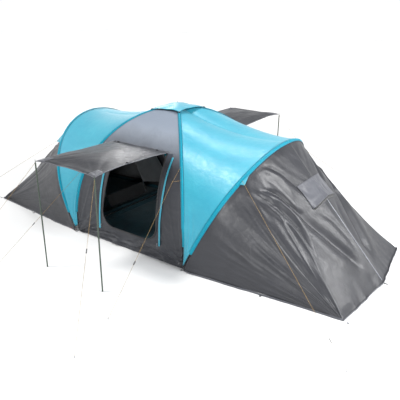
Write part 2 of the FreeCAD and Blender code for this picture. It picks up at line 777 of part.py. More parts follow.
def guy_tabs():
    """What the guy lines pull on: triangles of cloth on the arches, pairs of short cords on the domes."""
    start, end, _ = GUYS["arch"]
    back = ARCHES["right"].point(ARCHES["right"].at_height(TAB_TOP_Z))
    low = ARCHES["right"].point(ARCHES["right"].at_height(TAB_LOW_Z))
    way = end - start
    way.normalize()
    plate = polygon_face([start + way * TAB_START, back + way * TAB_EDGE, low + way * TAB_EDGE])
    across = (back - start).cross(low - start)
    across.normalize()
    tab = plate.extrude(across * WEBBING)
    pieces = on_four_sides(tab)
    start = GUYS["dome"][0]
    strands = [Part.makeSphere(KNOT_R, start)]
    for z in STRAND_HEIGHTS:
        on_pole = DOME.point(DOME.at_height(z))
        toward = start - on_pole
        toward.normalize()
        strands.append(bar(on_pole + toward * STRAND_START, start, GUY_R))
    bridle = strands[0].fuse(strands[1:])
    pieces += on_four_sides(bridle)
    return Part.makeCompound(pieces)


def peg(place, pull):
    """The head of a steel peg: a short stub with its hook turned away from the pull."""
    stub = Part.makeCylinder(PEG_R, PEG_HEIGHT, place)
    knob = Part.makeSphere(PEG_R, place + Vector(0, 0, PEG_HEIGHT))
    hook = Part.makeCylinder(PEG_R, PEG_HOOK, place + Vector(0, 0, PEG_HEIGHT), pull * -1)
    return stub.fuse([knob, hook])


def guy_pegs():
    pegs = []
    for kind, (start, end, _) in GUYS.items():
        pull = Vector(start.x - end.x, start.y - end.y, 0)
        four = on_four_sides(peg(Vector(end.x, end.y, 0), pull))
        pegs += [at_door(shape) for shape in four] if kind == "awning" else four
    return pegs


HEM_PEGS = [Vector(END_CORNER_X + 55.0, -END_CORNER_Y - 22.0, 0), Vector(2250.0, -1262.0, 0)]


def hem_pegs():
    pegs = []
    for place in HEM_PEGS:
        shape = peg(place, Vector(0, 1, 0))
        pegs += on_four_sides(shape)
    nose = peg(Vector(END_NOSE_X + 60.0, 0, 0), Vector(-1, 0, 0))
    pegs += [nose, mirror_x(nose)]
    return pegs


def hem_loops():
    """Webbing that ties the hem to its pegs."""
    loops = []
    for place in HEM_PEGS:
        low = [place.x - LOOP_HALF, place.y + 6.0, LOOP_Z]
        loop = box(low, [place.x + LOOP_HALF, place.y + 30.0, LOOP_Z + LOOP_THICK])
        loops += on_four_sides(loop)
    low = [END_NOSE_X + 4.0, -LOOP_HALF, LOOP_Z]
    nose = box(low, [END_NOSE_X + 52.0, LOOP_HALF, LOOP_Z + LOOP_THICK])
    loops += [nose, mirror_x(nose)]
    return Part.makeCompound(loops)


# ---------------------------------------------------------------- all the nodes
def nodes():
    made = {
        "dome_pole_a": pole_tube(POLE_A),
        "dome_pole_b": pole_tube(POLE_B),
        "pole_ferrules": ferrules(),
        "dome_sleeves": Part.makeCompound([dome_sleeves(POLE_A), dome_sleeves(POLE_B)]),
        "arch_sleeves": Part.makeCompound([arch_sleeve(arch) for arch in ARCHES.values()]),
        "roof_cap": roof_cap(),
        "roof_cap_clips": roof_cap_clips(),
        "foot_pins": foot_pins(),
        "foot_straps": foot_straps(),
        "groundsheet": groundsheet(),
        "far_door_mesh": mirror_y(door_lining()),
        "door_zip_flaps": zip_flaps(),
        "vent_mesh": vent_mesh(),
        "guy_tabs": guy_tabs(),
        "ground_pegs": Part.makeCompound(guy_pegs() + hem_pegs()),
        "hem_loops": hem_loops(),
    }
    for side, sx in X_SIDES.items():
        arch = ARCHES[side]
        made["arch_pole_" + side] = pole_tube(arch)
        made["fly_side_" + side] = placed(dome_side(), sx)
        made["fly_end_" + side] = fly_end(sx)
        made["inner_cabin_" + side] = inner_cabin(sx)
        made["vent_hood_" + side] = vent_hood(sx)
    for depth, sy in Y_SIDES.items():
        made["fly_front_" + depth] = fly_front(sy)
        made["awning_" + depth] = at_door(placed(awning(), 1, sy))
        poles = [awning_pole(sx, sy) for sx in X_SIDES.values()]
        made["awning_poles_" + depth] = Part.makeCompound(poles)
        for side, sx in X_SIDES.items():
            made[f"zip_slider_{depth}_{side}"] = zip_slider(sx, sy)
            for kind, (start, end, share) in GUYS.items():
                line = placed(bar(start, end, GUY_R), sx, sy)
                slider = placed(runner(start, end, share), sx, sy)
                at_awning = kind == "awning"
                made[f"guy_{kind}_{depth}_{side}"] = at_door(line) if at_awning else line
                made[f"runner_{kind}_{depth}_{side}"] = at_door(slider) if at_awning else slider
    return made


os.makedirs(OUT, exist_ok=True)
for name, shape in nodes().items():
    shape.exportStep(f"{OUT}/{name}.step")
    b = shape.BoundBox
    print(f"{name:28s} solids {len(shape.Solids):2d} valid {shape.isValid()} volume {shape.Volume:12.0f} "
          f"z {b.ZMin:7.1f} {b.ZMax:7.1f}")

for kind, (start, end, _) in GUYS.items():
    length = (end - start).Length
    share = bar(start, end, GUY_R).Volume / (math.pi * GUY_R ** 2 * length)
    print(f"guy line {kind:8s} radius {GUY_R:.1f} length {length:.1f} volume over section x length {share:.4f}")
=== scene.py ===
"""Looks of the tunnel tent, in metres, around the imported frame."""
import math

import bpy
import bmesh
import numpy as np
from mathutils import Matrix, Vector
from mathutils.bvhtree import BVHTree


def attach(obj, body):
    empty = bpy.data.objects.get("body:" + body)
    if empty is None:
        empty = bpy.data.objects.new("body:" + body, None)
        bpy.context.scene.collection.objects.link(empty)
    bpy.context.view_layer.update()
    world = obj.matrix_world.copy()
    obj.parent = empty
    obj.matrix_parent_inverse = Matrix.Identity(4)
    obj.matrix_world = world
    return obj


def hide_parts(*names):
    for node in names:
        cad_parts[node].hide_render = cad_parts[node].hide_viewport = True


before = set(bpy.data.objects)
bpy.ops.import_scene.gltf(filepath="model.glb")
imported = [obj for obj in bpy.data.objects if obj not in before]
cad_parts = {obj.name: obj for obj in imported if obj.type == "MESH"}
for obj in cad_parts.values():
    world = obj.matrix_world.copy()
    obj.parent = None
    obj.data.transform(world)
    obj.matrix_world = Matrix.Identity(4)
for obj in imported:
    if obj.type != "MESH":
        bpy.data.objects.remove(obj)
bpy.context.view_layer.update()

TENT = "tent"                     # the body that stands still
UP = np.array([0.0, 0.0, 1.0])
ACROSS = np.array([0.0, 1.0, 0.0])
SIDES = {"left": -1, "right": 1}
DEPTHS = {"near": -1, "far": 1}
QUARTERS = [(side, sx, depth, sy) for side, sx in SIDES.items() for depth, sy in DEPTHS.items()]

# ---------------------------------------------------------------- sizes, the same as the frame's
DOME_FOOT = (1.060, 1.270)
DOME_PEAK = 1.950
LIFT_A = 0.014                    # dome pole A passes this much above dome pole B
ARCH_FOOT = (1.060, 1.318)
ARCH_APEX = (1.890, 1.680)
END_CORNER = (3.285, 1.140)
END_NOSE = 3.415
HEM_Z = 0.004
DOOR_TOP, DOOR_SILL = 1.470, 0.262
DOOR_TOP_HALF, DOOR_LOW_HALF, DOOR_CORNER = 0.455, 0.530, 0.230
DOOR_SHIFT = np.array([0.045, 0.0, 0.0])  # doorways and awnings sit this far to the right of the middle
AWNING_HINGE = (0.906, 1.492)     # y and z of the hinge line
AWNING_TIP = (2.318, 1.535)
AWNING_HALF = (0.530, 0.515)
CAP_REACH = 0.400
SLEEVE_START = 0.330
SLEEVE_STOP = 0.110
FLANGE = 0.031                    # half width of a sewn pole sleeve
PANEL_INSET = 0.012               # a panel's edge runs under the sleeve's flange
CLOTH, THIN, NET = 0.0012, 0.0008, 0.0006  # thicknesses


# ---------------------------------------------------------------- bent poles
class Pole:
    """A bent pole's centreline: a straight leg, a side arc and a crown arc, the same on both halves."""

    def __init__(self, middle, across, up, half_span, rise, leg, side_radius):
        self.middle, self.across, self.up = (np.array(v, float) for v in (middle, across, up))
        self.half_span, self.rise, self.leg, self.side_radius = half_span, rise, leg, side_radius
        ratio = (side_radius - (rise - leg)) / (side_radius - half_span)
        self.side_angle = math.pi / 2 - 2 * math.atan(ratio)
        self.crown_radius = side_radius - (side_radius - half_span) / math.cos(self.side_angle)
        self.side_length = side_radius * self.side_angle
        self.half = leg + self.side_length + self.crown_radius * (math.pi / 2 - self.side_angle)

    def at(self, along):
        """Points at these arc lengths from the first foot."""
        along = np.asarray(along, float)
        s = np.where(along > self.half, 2 * self.half - along, along)
        side = np.clip((s - self.leg) / self.side_radius, 0, self.side_angle)
        crown = self.side_angle + (s - self.leg - self.side_length) / self.crown_radius
        on_crown = s > self.leg + self.side_length
        a = np.where(on_crown, self.crown_radius * np.cos(crown),
                     self.half_span - self.side_radius * (1 - np.cos(side)))
        h = np.where(on_crown, self.rise - self.crown_radius * (1 - np.sin(crown)),
                     np.minimum(s, self.leg) + self.side_radius * np.sin(side))
        a = np.where(along > self.half, -a, a)
        return self.middle + a[..., None] * self.across + h[..., None] * self.up

    def for_height(self, z):
        """Arc length at which the first half passes height z."""
        s = np.linspace(0, self.half, 2000)
        return np.interp(z, self.at(s)[:, 2], s)


def dome_pole(sx=1, lift=0.0):
    span = math.hypot(*DOME_FOOT)
    across = (sx * DOME_FOOT[0] / span, -DOME_FOOT[1] / span, 0)
    return Pole((0, 0, 0), across, UP, span, DOME_PEAK + lift, 0.200 + lift, 3.0)


def arch_pole():
    lean = np.array([ARCH_APEX[0] - ARCH_FOOT[0], 0, ARCH_APEX[1]])
    rise = float(np.linalg.norm(lean))
    return Pole((ARCH_FOOT[0], 0, 0), (0, -1, 0), lean / rise, ARCH_FOOT[1], rise, 0.300, 2.4)


DOME = dome_pole()
ARCH = arch_pole()


# ---------------------------------------------------------------- noise and folds
def noise(u, v, seed):
    """Smooth noise from -1 to 1 on a lattice of unit cells."""
    table = np.random.default_rng(seed).uniform(-1, 1, (64, 64))
    u, v = np.broadcast_arrays(u, v)
    iu, iv = np.floor(u).astype(int), np.floor(v).astype(int)
    fu, fv = u - iu, v - iv
    fu, fv = fu * fu * (3 - 2 * fu), fv * fv * (3 - 2 * fv)
    corner = [[table[(iu + i) % 64, (iv + j) % 64] for j in (0, 1)] for i in (0, 1)]
    low = corner[0][0] * (1 - fv) + corner[0][1] * fv
    high = corner[1][0] * (1 - fv) + corner[1][1] * fv
    return low * (1 - fu) + high * fu


def crumple(u, v, seed, octaves=3):
    return sum(noise(u * 2 ** k, v * 2 ** k, seed + k) / 2 ** k for k in range(octaves))


def crests(u, v, seed):
    """Thin sharp folds with flat cloth between them, from 0 to 1."""
    return np.clip(1 - 3.2 * np.abs(noise(u, v, seed)), 0, 1) ** 1.3


def step_between(low, high, x):
    """0 below low, 1 above high, smooth between."""
    t = np.clip((np.asarray(x, float) - low) / (high - low), 0, 1)
    return t * t * (3 - 2 * t)


def ridge(x, width):
    """A fold's cross-section: a sharp crest with soft flanks."""
    return np.exp(-np.abs(x) / width) * (1 + np.abs(x) / width) - 0.5 * np.exp(-(x / (2.5 * width)) ** 2)


# ---------------------------------------------------------------- meshes
def normals(grid, away_from):
    """Unit normals of a grid of points, turned away from a point inside the tent."""
    du, dv = np.gradient(grid, axis=0), np.gradient(grid, axis=1)
    n = np.cross(du, dv)
    length = np.linalg.norm(n, axis=-1, keepdims=True)
    n = n / np.maximum(length, 1e-9)
    facing = ((grid - np.array(away_from)) * n).sum(-1, keepdims=True)
    if np.median(facing) < 0:
        n = -n
    return n


def unit(v):
    return v / np.linalg.norm(v, axis=-1, keepdims=True)


INSIDE = (0.0, 0.0, 0.6)


def raised(grid, amount, away_from=INSIDE):
    """The grid moved along its own normals."""
    return grid + normals(grid, away_from) * np.asarray(amount)[..., None]


def mirrored(grid, sx=1, sy=-1):
    """A grid drawn on the right near side, moved to side sx, sy."""
    return grid * np.array([sx, -sy, 1.0])


def linked(name, data):
    """A new object in the scene."""
    made = bpy.data.objects.new(name, data)
    bpy.context.collection.objects.link(made)
    return made


def mesh_piece(name, points, faces, material, body=TENT):
    mesh = bpy.data.meshes.new(name)
    mesh.from_pydata([tuple(p) for p in points], [], [tuple(f) for f in faces])
    bm = bmesh.new()
    bm.from_mesh(mesh)
    bmesh.ops.remove_doubles(bm, verts=bm.verts, dist=1e-5)
    bmesh.ops.recalc_face_normals(bm, faces=bm.faces)
    bm.to_mesh(mesh)
    bm.free()
    mesh.polygons.foreach_set("use_smooth", [True] * len(mesh.polygons))
    mesh.materials.append(material)
    piece = linked(name, mesh)
    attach(piece, body)
    return piece


def grid_faces(rows, columns, keep=None, first=0):
    faces = []
    for i in range(rows - 1):
        for j in range(columns - 1):
            if keep is None or keep[i, j]:
                a = first + i * columns + j
                faces.append((a, a + 1, a + columns + 1, a + columns))
    return faces


def add_thickness(piece, thickness):
    solid = piece.modifiers.new("thickness", "SOLIDIFY")
    solid.thickness = thickness
    solid.offset = 0.0
    return piece


def cloth_piece(name, grid, material, body=TENT, keep=None, thickness=CLOTH):
    rows, columns = grid.shape[:2]
    piece = mesh_piece(name, grid.reshape(-1, 3), grid_faces(rows, columns, keep), material, body)
    return add_thickness(piece, thickness)


def flat_size(grid, keep=None):
    """(width, length) and area of the cloth that a grid was cut from, measured over its surface."""
    across = np.linalg.norm(np.diff(grid, axis=1), axis=-1).sum(1).max()
    along = np.linalg.norm(np.diff(grid, axis=0), axis=-1).sum(0).max()
    diagonals = np.cross(grid[1:, 1:] - grid[:-1, :-1], grid[1:, :-1] - grid[:-1, 1:])
    cells = np.linalg.norm(diagonals, axis=-1) / 2
    area = float((cells * keep).sum() if keep is not None else cells.sum())
    return (float(across), float(along)), area


LEAST_SHARE, KEPT_SHARE = 0.3, 0.35


def declare_sheet(grids, keep=None):
    """Works out the flat size and area of a sheet cut to these grids' surfaces."""
    sizes = [flat_size(g, keep) for g in grids]
    width = max(size[0][0] for size in sizes)
    length = sum(size[0][1] for size in sizes)
    area = sum(size[1] for size in sizes)
    share = area / (width * length)
    if share < LEAST_SHARE:       # a strip that bends in its own plane: a shorter rectangle around it
        length *= share / KEPT_SHARE


def sheet_piece(name, grid, material, node, held, rests_on, **how):
    """Cloth in place of the frame's node, or of none, with its flat sheet size worked out."""
    piece = cloth_piece(name, grid, material, **how)
    if node:
        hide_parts(node)
    declare_sheet([grid], keep=how.get("keep"))


def rim_of(grid):
    """The four edges of a grid as one closed path."""
    return np.concatenate([grid[0], grid[1:, -1], grid[-1, ::-1][1:], grid[::-1, 0][1:-1]])


def ring_section(count, radius):
    turn = np.linspace(0, 2 * math.pi, count, endpoint=False)
    return np.stack([np.cos(turn), np.sin(turn)], -1) * radius


def sweep(name, path, section, material, body=TENT, closed=False, facing=UP):
    """A tube of any cross-section along a path of points."""
    path = np.asarray(path, float)
    count, ring = len(path), len(section)
    if closed:
        ahead = np.roll(path, -1, 0) - np.roll(path, 1, 0)
    else:
        ahead = np.gradient(path, axis=0)
    ahead = unit(ahead)
    facing = np.broadcast_to(np.asarray(facing, float), path.shape)
    side = np.cross(facing, ahead)
    weak = np.linalg.norm(side, axis=1) < 1e-3
    side[weak] = np.cross(np.array([1.0, 0.2, 0.0]), ahead[weak])
    side = unit(side)
    top = np.cross(ahead, side)
    points = path[:, None] + section[:, 0, None] * side[:, None] + section[:, 1, None] * top[:, None]
    faces = []
    for i in range(count if closed else count - 1):
        a, b = i * ring, ((i + 1) % count) * ring
        faces += [(a + j, a + (j + 1) % ring, b + (j + 1) % ring, b + j) for j in range(ring)]
    if not closed:
        faces += [tuple(range(ring))[::-1], tuple(range((count - 1) * ring, count * ring))]
    return mesh_piece(name, points.reshape(-1, 3), faces, material, body)


def tube(name, path, radius, material, body=TENT, closed=False, sides=8):
    return sweep(name, path, ring_section(sides, radius), material, body, closed)


def ribbon_section(width, thickness):
    """A flat strip's cross-section with rounded edges."""
    w, t = width / 2, thickness / 2
    return np.array([(-w, -t * 0.5), (-w, t * 0.5), (-w * 0.9, t), (w * 0.9, t),
                     (w, t * 0.5), (w, -t * 0.5), (w * 0.9, -t), (-w * 0.9, -t)])


# ---------------------------------------------------------------- materials
def srgb(*levels):
    """Linear colour of sRGB levels from 0 to 255."""
    linear = [((v / 255 + 0.055) / 1.055) ** 2.4 if v > 10 else v / 255 / 12.92 for v in levels]
    return (*linear, 1.0)


class Shader:
    """A Principled material with object coordinates at hand."""

    def __init__(self, name, **sockets):
        self.material = bpy.data.materials.new(name)
        self.material.use_nodes = True
        self.nodes, self.links = self.material.node_tree.nodes, self.material.node_tree.links
        self.bsdf = self.nodes["Principled BSDF"]
        for key, value in sockets.items():
            self.bsdf.inputs[key.replace("_", " ")].default_value = value
        self.place = self.nodes.new("ShaderNodeTexCoord").outputs["Object"]

    def node(self, kind, **settings):
        made = self.nodes.new(kind)
        for key, value in settings.items():
            if hasattr(made, key):
                setattr(made, key, value)
            else:
                made.inputs[key.replace("_", " ")].default_value = value
        return made

    def noise(self, scale, detail=3.0, roughness=0.5, distortion=0.0, vector=None):
        made = self.node("ShaderNodeTexNoise", Scale=scale, Detail=detail, Roughness=roughness,
                         Distortion=distortion)
        self.links.new(vector or self.place, made.inputs["Vector"])
        return made.outputs["Fac"]

    def stretched(self, scale):
        made = self.node("ShaderNodeMapping")
        made.inputs["Scale"].default_value = scale
        self.links.new(self.place, made.inputs["Vector"])
        return made.outputs["Vector"]

    def ramp(self, value, low, high, low_at=0.0, high_at=1.0):
        made = self.node("ShaderNodeMapRange")
        for key, number in (("From Min", low_at), ("From Max", high_at), ("To Min", low), ("To Max", high)):
            made.inputs[key].default_value = number
        self.links.new(value, made.inputs["Value"])
        return made.outputs["Result"]

    def mix_colour(self, amount, first, second):
        made = self.node("ShaderNodeMix", data_type="RGBA")
        self.links.new(amount, made.inputs["Factor"])
        for socket, colour in (("A", first), ("B", second)):
            target = next(s for s in made.inputs if s.name == socket and s.type == "RGBA")
            if isinstance(colour, tuple):
                target.default_value = colour
            else:
                self.links.new(colour, target)
        return next(s for s in made.outputs if s.type == "RGBA")

    def add(self, *values):
        total = values[0]
        for value in values[1:]:
            made = self.node("ShaderNodeMath", operation="ADD")
            self.links.new(total, made.inputs[0])
            self.links.new(value, made.inputs[1])
            total = made.outputs[0]
        return total

    def scaled(self, value, factor):
        made = self.node("ShaderNodeMath", operation="MULTIPLY")
        self.links.new(value, made.inputs[0])
        made.inputs[1].default_value = factor
        return made.outputs[0]

    def weave(self, threads_per_m):
        """Height of a plain weave, seen from any side: three crossed sets of threads."""
        sets = []
        for direction in ("X", "Y", "Z"):
            made = self.node("ShaderNodeTexWave", wave_type="BANDS", bands_direction=direction,
                             Scale=threads_per_m / 20, Distortion=0.6, Detail=1.0)
            made.inputs["Detail Scale"].default_value = 4.0
            self.links.new(self.place, made.inputs["Vector"])
            sets.append(made.outputs["Fac"])
        return self.scaled(self.add(*sets), 1 / 3)

    def bump(self, height, strength, distance):
        made = self.node("ShaderNodeBump", Strength=strength, Distance=distance)
        self.links.new(height, made.inputs["Height"])
        self.links.new(made.outputs["Normal"], self.bsdf.inputs["Normal"])

    def colour(self, output):
        self.links.new(output, self.bsdf.inputs["Base Color"])

    def rough(self, output):
        self.links.new(output, self.bsdf.inputs["Roughness"])


def coated_cloth(name, colour, darker, rough=(0.30, 0.46), sheen=0.25, creases=1.0, coat=0.0,
                 painted_sheen=None, gloss=0.5, grain=0.07):
    """Coated polyester: plain weave, soft creases, broad gloss, and when asked a painted sky reflection that lightens
    the cloth high up.
    """
    s = Shader(name, Sheen_Weight=sheen, Sheen_Roughness=0.35, Specular_IOR_Level=gloss, Coat_Weight=coat,
               Coat_Roughness=0.35)
    cloudy = s.noise(1.7, 4.0, 0.6)
    streaks = s.noise(9.0, 3.0, 0.5, 0.8, s.stretched((0.5, 1.0, 2.2)))
    patches = s.ramp(s.add(s.scaled(cloudy, 0.7), s.scaled(streaks, 0.3)), 0.0, 1.0, 0.32, 0.70)
    cloth_colour = s.mix_colour(patches, darker, colour)
    # Painted sky reflection: the colour turns lighter with height, from z 1.45 to 1.85.
    if painted_sheen:
        parts = s.node("ShaderNodeSeparateXYZ")
        s.links.new(s.place, parts.inputs[0])
        painted_sheen_height = s.ramp(s.add(parts.outputs["Z"], s.scaled(cloudy, 0.25)), 0.0, 1.0, 1.45, 1.85)
        cloth_colour = s.mix_colour(painted_sheen_height, cloth_colour, painted_sheen)
    s.colour(cloth_colour)
    s.rough(s.ramp(s.noise(14.0, 4.0), rough[0], rough[1], 0.3, 0.7))
    soft = s.noise(7.0, 5.0, 0.55, 1.4)
    fine = s.noise(42.0, 3.0, 0.5, 0.6)
    height = s.add(s.scaled(soft, 0.9 * creases), s.scaled(fine, grain * creases),
                   s.scaled(s.weave(900), 0.004))
    s.bump(height, 0.40, 0.02)
    return s.material


def plain_cloth(name, colour, darker, rough=0.75, threads=500, alpha=1.0):
    s = Shader(name, Roughness=rough, Sheen_Weight=0.15, Sheen_Roughness=0.5, Alpha=alpha)
    s.colour(s.mix_colour(s.ramp(s.noise(6.0, 4.0), 0.0, 1.0, 0.3, 0.7), darker, colour))
    s.bump(s.add(s.scaled(s.noise(18.0, 4.0, 0.5, 0.8), 0.6), s.scaled(s.weave(threads), 0.1)), 0.5, 0.01)
    return s.material


def webbing_cloth(name, colour, darker):
    """Narrow woven tape with ribs across it."""
    s = Shader(name, Roughness=0.7, Sheen_Weight=0.2, Sheen_Roughness=0.4)
    ribs = s.weave(2600)
    s.colour(s.mix_colour(s.ramp(ribs, 0.0, 1.0, 0.2, 0.8), darker, colour))
    s.bump(ribs, 0.6, 0.001)
    return s.material


def metal(name, colour, darker, rough=(0.3, 0.5), grain=(1.0, 1.0, 30.0), metallic=1.0):
    s = Shader(name, Metallic=metallic, Specular_IOR_Level=0.5)
    brushed = s.noise(40.0, 4.0, 0.6, 0.0, s.stretched(grain))
    s.colour(s.mix_colour(s.ramp(brushed, 0.0, 1.0, 0.35, 0.65), darker, colour))
    s.rough(s.ramp(s.noise(60.0, 3.0), rough[0], rough[1], 0.3, 0.7))
    s.bump(brushed, 0.15, 0.0006)
    return s.material


def plastic(name, colour, darker, rough=(0.35, 0.5)):
    s = Shader(name, Specular_IOR_Level=0.5)
    s.colour(s.mix_colour(s.ramp(s.noise(30.0, 3.0), 0.0, 1.0, 0.35, 0.65), darker, colour))
    s.rough(s.ramp(s.noise(90.0, 3.0), rough[0], rough[1], 0.3, 0.7))
    s.bump(s.noise(400.0, 2.0), 0.2, 0.0003)
    return s.material


def braid(name, colour, fleck):
    s = Shader(name, Roughness=0.65, Sheen_Weight=0.3, Sheen_Roughness=0.4)
    plait = s.weave(4200)
    s.colour(s.mix_colour(s.ramp(plait, 0.0, 1.0, 0.35, 0.6), fleck, colour))
    s.bump(plait, 0.8, 0.0008)
    return s.material


def floor_material():
    s = Shader("floor_pale", Roughness=0.85)
    distance = s.node("ShaderNodeVectorMath", operation="LENGTH")
    s.links.new(s.place, distance.inputs[0])
    far = s.ramp(s.add(distance.outputs["Value"], s.noise(0.7, 3.0)), 0.0, 1.0, 5.5, 9.5)
    s.colour(s.mix_colour(far, srgb(209, 210, 211), srgb(244, 244, 244)))
    s.bump(s.noise(60.0, 2.0), 0.03, 0.002)
    return s.material


BLUE = coated_cloth("blue_polyester", srgb(48, 146, 166), srgb(30, 132, 156), rough=(0.36, 0.48),
                    creases=0.6, coat=0.06)
TRIM = coated_cloth("blue_sleeve", srgb(0, 132, 154), srgb(0, 116, 138), rough=(0.38, 0.52), sheen=0.08,
                    creases=0.6, gloss=0.2)
PIPING = plain_cloth("dark_blue_piping", srgb(10, 84, 112), srgb(6, 60, 84), 0.55, 1500)
GRAY = coated_cloth("gray_polyester", srgb(48, 49, 54), srgb(38, 39, 43), rough=(0.34, 0.44), sheen=0.02,
                    creases=0.4, gloss=0.40, grain=0.015)
# The front panels' gray, a little lighter than the ends', painted lighter towards the top as a painted sky
# reflection.
GRAY_FRONT = coated_cloth("gray_front_polyester", srgb(52, 54, 59), srgb(43, 44, 49), rough=(0.34, 0.44),
                          sheen=0.04, creases=0.4, painted_sheen=srgb(112, 121, 134), gloss=0.35, grain=0.015)
GRAY_PATCH = coated_cloth("gray_patch", srgb(84, 86, 92), srgb(72, 73, 79), rough=(0.34, 0.46), sheen=0.05,
                          creases=0.4, gloss=0.35, grain=0.015)
# Light gray tape for the ridge seams: seam tape, coloured light as a painted highlight where the ridge catches light.
SEAM_TAPE_HIGHLIGHT = plain_cloth("seam_tape_painted_highlight", srgb(140, 142, 150), srgb(116, 118, 128), 0.5, 1500)
INNER = plain_cloth("inner_cabin_cloth", srgb(84, 86, 88), srgb(72, 74, 76), 0.75, 700)
# Near-black cloth for the cabin skirts and sills, also used as painted shade: the strip under each vent hood's lip
# and the strip on the floor beside each cabin floor.
INNER_DARK = plain_cloth("skirting_and_painted_shade_cloth", srgb(22, 24, 26), srgb(14, 15, 17), 0.7, 700)
GROUND = plain_cloth("groundsheet_weave", srgb(18, 62, 72), srgb(10, 44, 54), 0.45, 260)
NETTING = plain_cloth("mosquito_netting", srgb(40, 42, 46), srgb(26, 28, 31), 0.8, 900, alpha=0.82)
WEBBING = webbing_cloth("black_webbing", srgb(38, 38, 42), srgb(14, 14, 16))
RED_WEBBING = webbing_cloth("red_webbing", srgb(150, 44, 40), srgb(104, 26, 26))
STEEL = metal("zinc_steel", srgb(176, 178, 182), srgb(130, 133, 138))
FIBREGLASS = plastic("black_fibreglass", srgb(34, 35, 38), srgb(20, 21, 23), (0.25, 0.4))
PAINTED_TUBE = metal("painted_tube", srgb(74, 84, 74), srgb(56, 66, 58), (0.3, 0.45), metallic=0.4)
BLACK_PLASTIC = plastic("black_nylon", srgb(30, 30, 33), srgb(18, 18, 20))
GUY_CORD = braid("braided_cord", srgb(146, 116, 58), srgb(86, 64, 28))


# ---------------------------------------------------------------- guy lines, before everything that they hang beside
# Each starts at the object and ends at its peg, as in the frame: the points of the near right one.
GUY_ROUTES = {
    "awning": [(0.547, -2.340, 1.495), (0.8925, -2.870, 0.7545), (1.238, -3.400, 0.014)],
    "dome": [(0.800, -1.165, 1.190), (0.9395, -1.9425, 0.602), (1.079, -2.720, 0.014)],
    "arch": [(1.740, -0.935, 1.338), (2.6765, -1.4395, 0.676), (3.613, -1.944, 0.014)],
}
GUY_DIAMETER = 0.004


def guy_line(kind, depth, side):
    node = f"guy_{kind}_{depth}_{side}"
    sx, sy = SIDES[side], DEPTHS[depth]
    shift = DOOR_SHIFT if kind == "awning" else 0.0
    route = [mirrored(np.array(p), sx, sy) + shift for p in GUY_ROUTES[kind]]
    curve = bpy.data.curves.new(node + "_line", "CURVE")
    curve.dimensions = "3D"
    curve.bevel_depth = GUY_DIAMETER / 2
    curve.bevel_resolution = 3
    curve.use_fill_caps = True
    curve.resolution_u = 24
    spline = curve.splines.new("NURBS")
    spline.points.add(len(route) - 1)
    for point, p in zip(spline.points, route):
        point.co = (*p, 1.0)
    spline.order_u = 3
    spline.use_endpoint_u = True
    curve.materials.append(GUY_CORD)
    line = linked(node + "_line", curve)
    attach(line, TENT)
    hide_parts(node)


for kind in GUY_ROUTES:
    for depth in DEPTHS:
        for side in SIDES:
            guy_line(kind, depth, side)


# ---------------------------------------------------------------- flysheet: the panels with the doorways
def door_half_width(z):
    """Half width of the doorway at height z, with its round lower corners."""
    share = (z - DOOR_SILL) / (DOOR_TOP - DOOR_SILL)
    low_z = DOOR_SILL + DOOR_CORNER
    straight = DOOR_LOW_HALF + (DOOR_TOP_HALF - DOOR_LOW_HALF) * (z - low_z) / (DOOR_TOP - low_z)
    drop = np.clip(low_z - z, 0, DOOR_CORNER)
    corner = DOOR_LOW_HALF - DOOR_CORNER + np.sqrt(DOOR_CORNER ** 2 - drop ** 2)
    return np.where(share <= 0, DOOR_LOW_HALF - DOOR_CORNER, np.where(z < low_z, corner, straight))


def front_rows():
    """Arc lengths up the dome line, closest together at the doorway's lower corners."""
    sill, corner, head = DOME.for_height(np.array([DOOR_SILL, DOOR_SILL + DOOR_CORNER, DOOR_TOP]))
    low = np.linspace(HEM_Z, sill, 22)
    bend = sill + (corner - sill) * (1 - np.cos(np.linspace(0, math.pi / 2, 16)))
    side = np.linspace(corner, head, 70)
    top = np.linspace(head, DOME.half - 0.02, 46)
    sill_row, head_row = len(low) - 1, len(low) + len(bend) + len(side) - 3
    return np.concatenate([low, bend[1:], side[1:], top[1:]]), sill_row, head_row


FRONT_BANDS = (34, 60, 34)


def front_grid():
    """The near panel's smooth surface, and which of its cells are cloth."""
    along, sill_row, head_row = front_rows()
    line = DOME.at(along)
    edge = line[:, 0] - PANEL_INSET
    door = np.minimum(door_half_width(line[:, 2]), edge * 0.62)
    shift = DOOR_SHIFT[0] * step_between(0.0, 0.3, edge)
    left = np.linspace(-edge, shift - door, FRONT_BANDS[0], axis=1)
    middle = np.linspace(shift - door, shift + door, FRONT_BANDS[1], axis=1)
    right = np.linspace(shift + door, edge, FRONT_BANDS[2], axis=1)
    x = np.concatenate([left, middle[:, 1:-1], right], axis=1)
    grid = np.stack([x, np.broadcast_to(line[:, 1:2], x.shape), np.broadcast_to(line[:, 2:3], x.shape)], -1)
    keep = np.ones((len(along) - 1, x.shape[1] - 1), bool)
    keep[sill_row:head_row, FRONT_BANDS[0] - 1:FRONT_BANDS[0] + FRONT_BANDS[1] - 2] = False
    return grid, keep, edge


